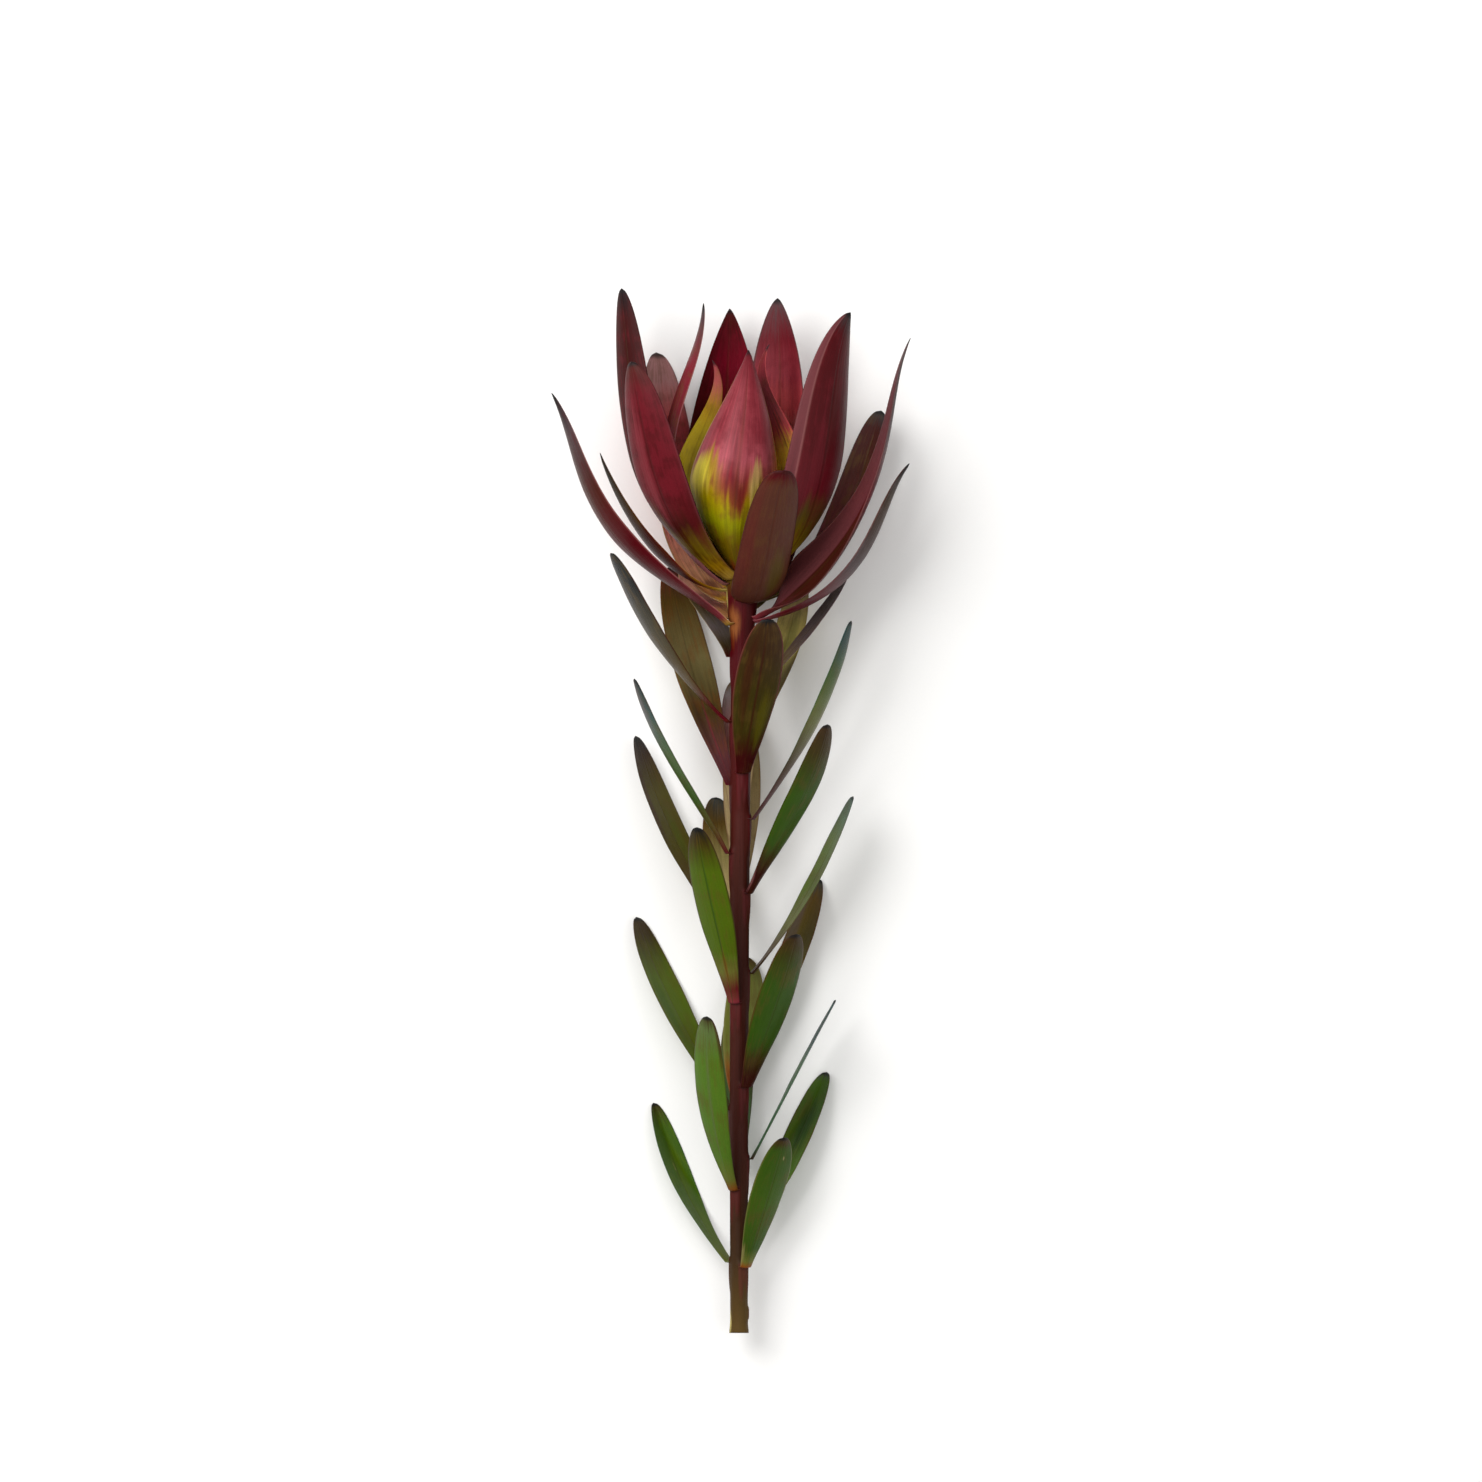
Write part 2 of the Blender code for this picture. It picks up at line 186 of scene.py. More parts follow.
class Outline(Enum):
    """The outlines that the leaves and bracts have."""

    LEAF = Profile(0.30, 0.60, 1.25, 2.2, 0.50)
    LANCE = Profile(0.42, 0.42, 1.10, 1.7, 0.90)
    BROAD = Profile(0.28, 0.48, 1.00, 2.2, 0.62)
    OAR = Profile(0.35, 0.52, 1.20, 1.8, 0.80)
    HILT = Profile(0.62, 0.40, 1.00, 1.7, 0.90)
    TALL = Profile(0.18, 0.50, 0.90, 2.0, 0.75)
    BULB = Profile(0.16, 0.42, 0.78, 1.6, 1.05)
    PADDLE = Profile(0.50, 0.40, 0.80, 3.4, 0.45)
    SPEAR = Profile(0.18, 0.42, 0.90, 1.3, 0.90)
    SAIL = Profile(0.22, 0.33, 0.68, 2.3, 0.75)
    STRAP = Profile(0.50, 0.48, 1.00, 2.2, 0.62)
    SICKLE = Profile(0.25, 0.22, 1.30, 1.2, 1.08)
    WEDGE = Profile(0.40, 0.30, 0.80, 1.3, 0.90)
    SLEEVE = Profile(0.60, 0.48, 1.00, 2.2, 0.62)
    WRAP = Profile(0.16, 0.36, 0.80, 1.5, 1.00)


@dataclass(frozen=True)
class Touch:
    """A soft patch of colour: its middle and its reach along and across, its tone and how strongly it shows."""

    along: float
    across: float
    reach: float
    spread: float
    tone: Tone
    strength: float = 0.8
    streak: float = STREAK


@dataclass(frozen=True)
class Fold:
    """A crease along a blade: the strip beyond it, signed like across, bends by the angle and changes tone."""

    edge: float
    angle: float
    tone: Tone
    # line: the tone of a line along the crease; on bract_long_right it is a painted shadow
    line: Tone
    share: float
    line_share: float


@dataclass(frozen=True)
class Texture:
    """Noise drawn out over a surface: its rates across and along, its offset and its detail."""

    across: float
    along: float
    offset: float = 0.0
    detail: float = 2.0


class Wire:
    """One output of a node, on which arithmetic adds nodes to its tree."""

    def __init__(self, tree: bpy.types.NodeTree, socket: bpy.types.NodeSocket) -> None:
        """Keeps the socket and its tree."""
        self.tree = tree
        self.socket = socket

    def _both(self, operation: str, first: Any, second: Any) -> Wire:
        """Two values put through a maths node, as vectors if this one is."""
        kind = "ShaderNodeVectorMath" if self.socket.type == "VECTOR" else "ShaderNodeMath"
        return add_node(self.tree, kind, first, second, operation=operation)

    def __add__(self, other: Any) -> Wire:
        """The sum."""
        return self._both("ADD", self, other)

    def __sub__(self, other: Any) -> Wire:
        """The difference."""
        return self._both("SUBTRACT", self, other)

    def __rsub__(self, other: Any) -> Wire:
        """The difference from a plain value."""
        return self._both("SUBTRACT", other, self)

    def __mul__(self, other: Any) -> Wire:
        """The product, which scales a vector by a number."""
        return self._both("SCALE" if self.socket.type == "VECTOR" else "MULTIPLY", self, other)

    def __truediv__(self, other: Any) -> Wire:
        """The quotient."""
        return self._both("DIVIDE", self, other)

    def math(self, operation: str, *others: Any) -> Wire:
        """Another operation of the maths node on this value."""
        return add_node(self.tree, "ShaderNodeMath", self, *others, operation=operation)

    def parts(self) -> tuple[Wire, Wire, Wire]:
        """The three numbers of a vector."""
        split = add_node(self.tree, "ShaderNodeSeparateXYZ", self).socket.node
        return tuple(Wire(self.tree, socket) for socket in split.outputs)

    def ease(self, start: float, end: float) -> Wire:
        """A smooth step from 0 at the start to 1 at the end."""
        return add_node(self.tree, "ShaderNodeMapRange", self, start, end, interpolation_type="SMOOTHSTEP")

    def bell(self, reach: float) -> Wire:
        """A smooth hump round zero that falls off within the reach."""
        scaled = self / reach
        return (scaled * scaled * -1.0).math("EXPONENT")


def add_node(tree: bpy.types.NodeTree, kind: str, *values: Any, out: str | int = 0, **settings: Any) -> Wire:
    """Adds a node and wires or sets its inputs.

    Args:
        tree: the tree to add it to.
        kind: the node's type name.
        values: what goes into its inputs in order, where None leaves one alone.
        out: the name or place of the output that is wanted.
        settings: the node's own properties.

    Returns:
        The output asked for.
    """
    node = tree.nodes.new(kind)
    for name, setting in settings.items():
        setattr(node, name, setting)
    inputs = [socket for socket in node.inputs if socket.enabled]
    for socket, value in zip(inputs, values):
        if isinstance(value, Wire):
            tree.links.new(value.socket, socket)
        elif value is not None:
            socket.default_value = value
    outputs = [socket for socket in node.outputs if socket.enabled]
    return Wire(tree, node.outputs[out] if isinstance(out, str) else outputs[out])


class Graph:
    """A node tree under construction."""

    def __init__(self, tree: bpy.types.NodeTree) -> None:
        """Keeps the tree."""
        self.tree = tree

    def node(self, kind: str, *values: Any, out: str | int = 0, **settings: Any) -> Wire:
        """Adds a node to this tree."""
        return add_node(self.tree, kind, *values, out=out, **settings)

    def vector(self, x: Any, y: Any, z: Any = 0.0) -> Wire:
        """A vector from three numbers."""
        return self.node("ShaderNodeCombineXYZ", x, y, z)

    def noise(self, place: Wire, rate: float = 1.0, detail: float = 2.0) -> Wire:
        """Soft noise from 0 to 1 at a place."""
        return self.node("ShaderNodeTexNoise", place, rate, detail)


class Paint(Graph):
    """A material under construction: a Principled shader and the nodes that lead to it."""

    RELIEF: ClassVar[float] = 0.6
    PATCH_CORE: ClassVar[float] = 0.3  # the share of its reach within which a patch is full

    def __init__(self, name: str) -> None:
        """Starts the material.

        Args:
            name: the material's name.
        """
        self.material = bpy.data.materials.new(name)
        self.material.use_nodes = True
        super().__init__(self.material.node_tree)
        self.shader = self.tree.nodes["Principled BSDF"]
        self.object = self.node("ShaderNodeTexCoord", out="Object")

    def spot(self) -> tuple[Wire, Wire, Wire]:
        """The three parts of a piece's stored place: along, across and, on the stem, from its core."""
        return self.node("ShaderNodeAttribute", attribute_name="blade", out="Vector").parts()

    def texture(self, texture: Texture, across: Wire, along: Wire, seed: float = 0.0) -> Wire:
        """Noise drawn out over the surface, shifted by a seed."""
        place = self.vector(across * texture.across, along * texture.along, seed + texture.offset)
        return self.noise(place, detail=texture.detail)

    def ramp(self, share: Wire, stops: str) -> Wire:
        """A colour that runs through stops.

        Args:
            share: where along the run, 0 to 1.
            stops: the places in hundredths, each with the name of its tone.

        Returns:
            The colour.
        """
        made = self.node("ShaderNodeValToRGB", share)
        words = stops.split()
        places, tones = words[::2], words[1::2]
        elements = made.socket.node.color_ramp.elements
        while len(elements) < len(places):
            elements.new(0.5)
        for element, place, tone in zip(elements, places, tones):
            element.position = int(place) / 100
            element.color = Tone[tone].rgba()
        return made

    def blend(self, share: Any, under: Any, over: Any) -> Wire:
        """One colour laid over another by a share."""
        under, over = [c.rgba() if isinstance(c, Tone) else c for c in (under, over)]
        return self.node("ShaderNodeMix", share, under, over, data_type="RGBA")

    def shade(self, colour: Wire, amount: Wire) -> Wire:
        """A colour made lighter or darker by a factor near one."""
        grey = self.vector(amount, amount, amount)
        return self.node("ShaderNodeMix", 1.0, colour, grey, data_type="RGBA", blend_type="MULTIPLY")

    def touches(self, colour: Wire, along: Wire, across: Wire, streak: Wire, marks: Iterable[Touch]) -> Wire:
        """Lays soft patches over a colour.

        Args:
            colour: what lies underneath.
            along: the share of the length.
            across: the share of the width, -1 to 1.
            streak: noise round zero that draws the patches' ends out.
            marks: the patches.

        Returns:
            The colour with the patches on it.
        """
        for mark in marks:
            far = (along + streak * (mark.streak / STREAK) - mark.along) / mark.reach
            wide = (across - mark.across) / mark.spread
            distance = (far * far + wide * wide).math("SQRT")
            colour = self.blend((1.0 - distance.ease(self.PATCH_CORE, 1.0)) * mark.strength, colour, mark.tone)
        return colour

    def finish(
        self, colour: Wire, rough: Wire, height: Wire, depth: float, specular: float = 0.5, sheen: float = 0.0
    ) -> bpy.types.Material:
        """Leads colour, roughness and relief into the shader.

        Args:
            colour: the surface's colour.
            rough: its roughness.
            height: its relief, 0 to 1.
            depth: how deep the relief is, in metres.
            specular: how strongly it mirrors.
            sheen: how silky it is.

        Returns:
            The finished material.
        """
        bump = self.node("ShaderNodeBump", self.RELIEF, depth, None, height)
        for name, wire in {"Base Color": colour, "Roughness": rough, "Normal": bump}.items():
            self.tree.links.new(wire.socket, self.shader.inputs[name])
        self.shader.inputs["Specular IOR Level"].default_value = specular
        self.shader.inputs["Sheen Weight"].default_value = sheen
        return self.material


@dataclass(frozen=True)
class Skin:
    """The skin of a leaf or bract: its colours from foot to tip, its margin, veins, patches and gloss."""

    FIBRES: ClassVar[Texture] = Texture(7.0, 1.3, 0.0, 3.0)
    VEINS: ClassVar[Texture] = Texture(24.0, 1.6, 5.0)
    FLECKS: ClassVar[Texture] = Texture(9.0, 9.0, 9.0, 5.0)
    CLOUDS: ClassVar[float] = 95.0
    RAGGED: ClassVar[float] = 0.3  # how far the fibres draw colours out along the blade
    RUN_RAGGED: ClassVar[float] = 0.45  # the share of that in the run of colours
    MOTTLING: ClassVar[Span] = (0.95, 1.25)  # the noise at which the mottle starts and is full
    FOLD_RAGGED: ClassVar[float] = 0.06
    FOLD_STEP: ClassVar[Span] = (-0.015, 0.02)  # where the folded strip's tone starts and is full
    FOLD_LINE: ClassVar[float] = 0.03  # the crease's half width
    FOLD_START: ClassVar[Span] = (0.02, 0.2)
    RIB_LINE: ClassVar[float] = 0.05  # the rib's half width
    RIB_END: ClassVar[Span] = (1.0, 0.7)
    MARGIN: ClassVar[Span] = (0.90, 1.0)  # how far across the margin starts and is full
    MARGIN_RAGGED: ClassVar[float] = 0.03
    TIP: ClassVar[Span] = (0.972, 0.994)  # how far along the tip starts and is full
    TIP_RAGGED: ClassVar[float] = 0.006
    TIP_SHARE: ClassVar[float] = 0.85

    stops: str
    margin: Tone = T.CRIMSON
    margin_share: float = 0.35
    rib: Tone = T.DARK_OLIVE
    rib_share: float = 0.25
    tip: Tone = T.INK
    mottle: Tone = T.BRONZE
    mottle_share: float = 0.4
    veins: float = 0.10
    rough: float = 0.42
    specular: float = 0.14
    relief: float = 0.00022
    marks: tuple[Touch, ...] = ()

    def material(self, name: str, seed: float, fold: Fold | None) -> bpy.types.Material:
        """Makes the skin as a material.

        Args:
            name: the blade's name.
            seed: shifts the noise, so no two blades are alike.
            fold: the blade's crease, if it has one.

        Returns:
            The material.
        """
        paint = Paint(f"{name}_skin")
        along, across, _ = paint.spot()
        fibres, veins, flecks = [
            paint.texture(kind, across, along, seed) for kind in (self.FIBRES, self.VEINS, self.FLECKS)
        ]
        grain = paint.noise(paint.object, GRAIN)
        clouds = paint.noise(paint.object, self.CLOUDS + seed)
        streak = (fibres - 0.5) * self.RAGGED
        colour = paint.ramp(along + streak * self.RUN_RAGGED, self.stops)
        colour = paint.blend((clouds + flecks).ease(*self.MOTTLING) * self.mottle_share, colour, self.mottle)
        if fold:
            past = across * math.copysign(1.0, fold.edge) - abs(fold.edge) + streak * self.FOLD_RAGGED
            colour = paint.blend(past.ease(*self.FOLD_STEP) * fold.share, colour, fold.tone)
            # the line along the crease, a painted shadow on bract_long_right
            line = past.bell(self.FOLD_LINE) * fold.line_share * along.ease(*self.FOLD_START)
            colour = paint.blend(line, colour, fold.line)
        colour = paint.touches(colour, along, across, streak, self.marks)
        rim = across.math("ABSOLUTE") + fibres * self.MARGIN_RAGGED
        end = (along + grain * self.TIP_RAGGED).ease(*self.TIP) * self.TIP_SHARE
        rib = across.bell(self.RIB_LINE) * self.rib_share * along.ease(*self.RIB_END)
        colour = paint.blend(rib, colour, self.rib)
        colour = paint.blend(rim.ease(*self.MARGIN) * self.margin_share, colour, self.margin)
        colour = paint.blend(end, colour, self.tip)
        lively = (veins - 0.5) * (3.0 * self.veins) + (flecks - 0.5) * 0.35 + (grain - 0.5) * 0.34 + 1.0
        roughness = (grain - 0.5) * 0.16 + (clouds - 0.5) * 0.14 + self.rough
        height = veins * 0.7 + grain * 0.3 - across.bell(0.035) * 0.5
        return paint.finish(paint.shade(colour, lively), roughness, height, self.relief, self.specular)


@dataclass(frozen=True)
class Bark:
    """The skin of the woody stem: fibres, lenticels, a pale cut and patches of colour."""

    FIBRES: ClassVar[Texture] = Texture(26.0, 9.0, 0.0, 4.0)
    PORES: ClassVar[Texture] = Texture(11.0, 60.0)
    GRAIN: ClassVar[float] = 2400.0
    RAGGED: ClassVar[float] = 0.12
    RUN_RAGGED: ClassVar[float] = 0.5
    PORE: ClassVar[Span] = (0.07, 0.16)  # how far from its middle a pore fades
    RIDGE: ClassVar[Span] = (0.25, 0.9)  # at which height of a ridge its colour starts and is full
    RIDGE_SHARE: ClassVar[float] = 0.35
    RINGS: ClassVar[float] = 14.0  # the rate of the wood's rings
    PITH: ClassVar[Span] = (0.34, 0.26)  # where, from the core out, wood gives way to pith
    RIND: ClassVar[Span] = (0.86, 0.93)  # where it gives way to bark

    stops: str
    marks: tuple[Touch, ...]
    pores: float = 0.3
    rough: float = 0.45
    specular: float = 0.16
    relief: float = 0.0003

    def material(self) -> bpy.types.Material:
        """Makes the bark, and the wood at the cut, as one material.

        Returns:
            The material.
        """
        paint = Paint("bark_skin")
        along, around, core = paint.spot()
        ridge = paint.node("ShaderNodeAttribute", attribute_name="ridge", out="Fac")
        fibres = paint.texture(self.FIBRES, around, along)
        grain = paint.noise(paint.object, self.GRAIN)
        streak = (fibres - 0.5) * self.RAGGED
        colour = paint.ramp(along + streak * self.RUN_RAGGED, self.stops)
        colour = paint.touches(colour, along, around, streak, self.marks)
        place = paint.vector(around * self.PORES.across, along * self.PORES.along)
        cells = paint.node("ShaderNodeTexVoronoi", place, 1.0, out="Distance")
        pores = (1.0 - cells.ease(*self.PORE)) * self.pores
        colour = paint.blend(pores, colour, T.BARK)
        colour = paint.blend(ridge.ease(*self.RIDGE) * self.RIDGE_SHARE, colour, T.CRIMSON)
        colour = paint.shade(colour, (fibres - 0.5) * 0.5 + (grain - 0.5) * 0.3 + 1.0)
        rings = paint.blend(paint.noise(core * self.RINGS, detail=1.0), T.WOOD, T.STRAW)
        wood = paint.blend(core.ease(*self.PITH), rings, T.PITH)
        colour = paint.blend(core.ease(*self.RIND), wood, colour)
        height = fibres * 0.8 + grain * 0.2 - pores * 1.5
        return paint.finish(colour, grain * 0.2 + self.rough, height, self.relief, self.specular)


@dataclass(frozen=True)
class BudSkin:
    """The skin of the bud's silky scales."""

    SILK: ClassVar[Texture] = Texture(9.0, 1.5, 0.0, 3.0)

    stops: str = "0 OLIVE 45 CITRON 80 ROSE 100 PALE_ROSE"
    rough: float = 0.4
    sheen: float = 0.3
    relief: float = 0.0002

    def material(self) -> bpy.types.Material:
        """Makes the scales' material, whose colours run along each scale.

        Returns:
            The material.
        """
        paint = Paint("bud_scale_skin")
        along, across, _ = paint.spot()
        fibres = paint.texture(self.SILK, across, along)
        grain = paint.noise(paint.object, GRAIN)
        colour = paint.ramp(along + (fibres - 0.5) * 0.3, self.stops)
        colour = paint.shade(colour, (fibres - 0.5) * 0.4 + (grain - 0.5) * 0.3 + 1.0)
        return paint.finish(colour, grain * 0.2 + self.rough, fibres, self.relief, sheen=self.sheen)


class Recipe(Graph):
    """A Geometry Nodes tree with named inputs, and the way to run it once on a mesh."""

    def __init__(self, name: str, whole: Sequence[str], real: Sequence[str]) -> None:
        """Starts the tree.

        Args:
            name: what the tree is called.
            whole: the names of its inputs that are whole numbers.
            real: the names of those that are real numbers.
        """
        super().__init__(bpy.data.node_groups.new(name, "GeometryNodeTree"))
        sockets = self.tree.interface
        for way in ("INPUT", "OUTPUT"):
            sockets.new_socket("Geometry", in_out=way, socket_type="NodeSocketGeometry")
        kinds = {**dict.fromkeys(whole, "Int"), **dict.fromkeys(real, "Float"), "Material": "Material"}
        self.keys = {
            label: sockets.new_socket(label, in_out="INPUT", socket_type=f"NodeSocket{kind}").identifier
            for label, kind in kinds.items()
        }
        source = self.tree.nodes.new("NodeGroupInput")
        self.given = {socket.name: Wire(self.tree, socket) for socket in source.outputs if socket.name}
        self.result = self.tree.nodes.new("NodeGroupOutput").inputs[0]

    def place(self) -> Wire:
        """The place of each point of the mesh at hand."""
        return self.node("GeometryNodeInputPosition")

    def stored(self, label: str, kind: str = NUMBERS) -> Wire:
        """The value that each point of the mesh at hand has under a name."""
        return self.node("GeometryNodeInputNamedAttribute", label, data_type=kind)

    def sample(self, source: Wire, value: Wire, row: Wire, kind: str = NUMBERS) -> Wire:
        """What a value is at one point, given by its number, of another mesh."""
        return self.node("GeometryNodeSampleIndex", source, value, row, data_type=kind, clamp=True)

    def store(self, mesh: Wire, label: str, value: Wire, kind: str = VECTORS) -> Wire:
        """Keeps a value on a mesh's points under a name."""
        return self.node("GeometryNodeStoreNamedAttribute", mesh, None, label, value, data_type=kind)

    def moved(self, mesh: Wire, place: Wire) -> Wire:
        """A mesh with its points put in new places."""
        return self.node("GeometryNodeSetPosition", mesh, None, place)

    def tube(self, cap: str, rings: int) -> tuple[Wire, Wire, Wire, Wire]:
        """A closed tube of unit radius, one ring of points for each row.

        Args:
            cap: how its ends are filled.
            rings: how many rings of faces each end has.

        Returns:
            The tube, its points' two places in the section, and their row.
        """
        steps = self.given["Rows"] - 1.0
        around = self.given["Around"]
        mesh = self.node("GeometryNodeMeshCylinder", around, steps, rings, 1.0, steps, fill_type=cap)
        x, y, z = self.place().parts()
        return mesh, x, y, (z + steps * 0.5).math("ROUND")

    def close(self, geometry: Wire) -> None:
        """Ends the tree with real, smooth geometry in the given material.

        Args:
            geometry: what the tree has made.
        """
        real = self.node("GeometryNodeRealizeInstances", geometry)
        smooth = self.node("GeometryNodeSetShadeSmooth", real)
        dressed = self.node("GeometryNodeSetMaterial", smooth, None, self.given["Material"])
        self.tree.links.new(dressed.socket, self.result)

    def run(self, name: str, seed: bpy.types.Mesh, values: dict[str, Any]) -> bpy.types.Object:
        """Runs the tree on a mesh and keeps the outcome as a plain mesh.

        Args:
            name: the new piece's name.
            seed: the mesh that the tree starts from.
            values: what its inputs are set to.

        Returns:
            The piece.
        """
        piece = bpy.data.objects.new(name, seed)
        modifier = piece.modifiers.new("grow", "NODES")
        modifier.node_group = self.tree
        for label, value in values.items():
            modifier[self.keys[label]] = value
        bpy.context.scene.collection.objects.link(piece)
        graph = bpy.context.evaluated_depsgraph_get()
        grown = bpy.data.meshes.new_from_object(
            piece.evaluated_get(graph), preserve_all_data_layers=True, depsgraph=graph
        )
        piece.modifiers.remove(modifier)
        piece.data = grown
        bpy.data.meshes.remove(seed)
        log.info("%s: %d faces", name, len(grown.polygons))
        return piece


class BladeRecipe(Recipe):
    """Sweeps a thin, cupped, lens-shaped section along a blade's rib."""

    CROWDING = 0.55  # how far the section's points draw in towards the rib
    WAVES = 3.4  # how many waves a margin has
    FOLD_BEND = (-0.04, 0.06)  # across which share of the width a crease bends
    FOLD_START = (0.03, 0.25)  # along which share of the length it starts
    GROOVE = 0.07  # the half width of the rib's groove
    GROOVE_END = (1.0, 0.55)  # along which share of the length it ends, from the tip back
    SOFTNESS = 0.5 * MM  # within what height a blade gives way to the table
    FAR_OFF = 30.0  # from how many times that it no longer does
    LIFT = 0.03 * MM  # how high above the table the lowest points are

    def __init__(self) -> None:
        """Builds the tree."""
        super().__init__(
            "blade", ("Rows", "Around"), ("Middle", "Edge", "Wave", "Crease", "Seed", "Fold Edge", "Fold Angle")
        )
        given = self.given
        rib = given["Geometry"]
        mesh, section_x, section_y, row = self.tube("NGON", 1)
        centre = self.sample(rib, self.place(), row, VECTORS)
        side, inward = [self.sample(rib, self.stored(k, VECTORS), row, VECTORS) for k in ("side", "inward")]
        labels = ("half", "cup", "along", "body")
        half, cup, along, body = [self.sample(rib, self.stored(label), row) for label in labels]
        across = section_x * (section_x * section_x * self.CROWDING + (1.0 - self.CROWDING))
        place = self.vector(along * self.WAVES, across.math("SIGN") * 4.0 + given["Seed"], given["Seed"])
        sway = self.noise(place, detail=1.0) - 0.5
        turned = given["Fold Edge"].math("SIGN")
        past = across * turned - given["Fold Edge"].math("ABSOLUTE")
        strip = past.math("MAXIMUM", 0.0)
        flat = across - strip * turned
        bend = half / cup
        angle = cup * flat
        middle = centre + side * (bend * angle.math("SINE"))
        middle = middle + inward * (bend * (1.0 - angle.math("COSINE")))
        angle = angle + turned * given["Fold Angle"] * past.ease(*self.FOLD_BEND) * along.ease(*self.FOLD_START)
        length = strip * turned * half
        middle = middle + side * (length * angle.math("COSINE")) + inward * (length * angle.math("SINE"))
        normal = inward * angle.math("COSINE") - side * angle.math("SINE")
        middle = middle + normal * (given["Wave"] * sway * across * across * 2.0 * body)
        spread = (1.0 - across * across) * (given["Middle"] - given["Edge"]) + given["Edge"]
        lens = section_y.math("ABSOLUTE").math("POWER", 0.5) * section_y.math("SIGN")
        groove = across.bell(self.GROOVE) * given["Crease"] * along.ease(*self.GROOVE_END)
        final = self.on_table(middle, given["Middle"]) + normal * (lens * spread * body - groove)
        x, y, z = final.parts()
        marked = self.store(mesh, "blade", self.vector(along, across))
        self.close(self.moved(marked, self.vector(x, y, z.math("MAXIMUM", self.LIFT))))

    def on_table(self, place: Wire, clearance: Wire) -> Wire:
        """Points kept off the table, softly.

        Args:
            place: the points.
            clearance: how high above the table they stay.

        Returns:
            The points, moved up where they would be too low.
        """
        x, y, z = place.parts()
        over = (z - clearance) / self.SOFTNESS
        capped = over.math("MINIMUM", self.FAR_OFF)
        raised = (capped.math("EXPONENT") + 1.0).math("LOGARITHM", math.e) + (over - capped)
        return self.vector(x, y, raised * self.SOFTNESS + clearance)


class TwigRecipe(Recipe):
    """Sweeps a round section along an axis, and raises ridges on it where lines run close under its skin."""

    REACH = 1.0 * MM  # how far from its line a ridge has sunk away
    FURROWS = (5.0, 12.0, 5.0)  # the furrows' rates round, along and round the stem

    def __init__(self) -> None:
        """Builds the tree."""
        super().__init__("twig", ("Rows", "Around"), ("Ridge Rise", "Furrow"))
        given = self.given
        part = self.stored("ridge_line")
        split = self.node("GeometryNodeSeparateGeometry", given["Geometry"], part, domain="POINT").socket.node
        lines, axis = [Wire(self.tree, socket) for socket in split.outputs]
        mesh, section_x, section_y, row = self.tube("TRIANGLE_FAN", 6)
        core = (section_x * section_x + section_y * section_y).math("SQRT")
        centre = self.sample(axis, self.place(), row, VECTORS)
        radius, along = [self.sample(axis, self.stored(label), row) for label in ("radius", "along")]
        outward = self.vector(section_x, 0.0, section_y)
        surface = centre + outward * radius
        reached = self.node(
            "GeometryNodeProximity", lines, None, surface, out="Distance", target_element="EDGES"
        )
        ridge = reached.bell(self.REACH) * core
        place = self.vector(*(value * rate for value, rate in zip((section_x, along, section_y), self.FURROWS)))
        furrow = (self.noise(place, detail=3.0) - 0.5) * given["Furrow"] * core
        final = surface + outward * (ridge * given["Ridge Rise"] + furrow)
        turn = section_x.math("ARCTAN2", section_y) / math.pi
        marked = self.store(mesh, "blade", self.vector(along, turn, core))
        self.close(self.moved(self.store(marked, "ridge", ridge, NUMBERS), final))


class ScaleRecipe(Recipe):
    """Lays overlapping pointed scales round an axis in a spiral."""

    GOLDEN_ANGLE = 2.39996
    POINTED = 0.75  # how much a scale narrows to its tip
    CURL = (2.6, 1.4)  # how much it bends across and along
    CROWDING = 0.9  # below one, the scales crowd towards the foot
    SEAT = 0.97  # the share of the core's radius at which they sit
    FULL = 6.0 * MM  # the core's radius from which they have their full size
    SMALLEST = 0.35

    def __init__(self) -> None:
        """Builds the tree."""
        super().__init__("scales", ("Rows", "Count"), ("Width", "Length", "Thickness", "Tilt"))
        given = self.given
        axis = given["Geometry"]
        ball = self.node("GeometryNodeMeshUVSphere", 12, 8, 1.0)
        x, y, z = self.place().parts()
        narrow = 1.0 - y.math("MAXIMUM", 0.0).math("POWER", 1.6) * self.POINTED
        curled = z - (x * x) * self.CURL[0] - (y * y) * self.CURL[1]
        ball = self.store(ball, "blade", self.vector(y * 0.5 + 0.5, x, z))
        ball = self.moved(ball, self.vector(x * narrow, y, curled))
        number = self.node("GeometryNodeInputIndex")
        share = (number + 0.5) / given["Count"]
        row = (share.math("POWER", self.CROWDING) * (given["Rows"] - 1.0)).math("ROUND")
        angle = number * self.GOLDEN_ANGLE
        outward = self.vector(angle.math("COSINE"), 0.0, angle.math("SINE"))
        centre = self.sample(axis, self.place(), row, VECTORS)
        radius, slope = [self.sample(axis, self.stored(label), row) for label in ("radius", "slope")]
        points = self.node("GeometryNodePoints", given["Count"], centre + outward * (radius * self.SEAT))
        lean = self.vector(0.0, (slope + given["Tilt"]) * -1.0, 0.0)
        turn = self.node(
            "FunctionNodeAxesToRotation", outward + lean, (0.0, 1.0, 0.0), primary_axis="Z", secondary_axis="Y"
        )
        size = (radius / self.FULL).math("MINIMUM", 1.0).math("MAXIMUM", self.SMALLEST)
        scale = self.vector(*(given[label] * size for label in ("Width", "Length", "Thickness")))
        self.close(self.node("GeometryNodeInstanceOnPoints", points, None, ball, None, None, turn, scale))


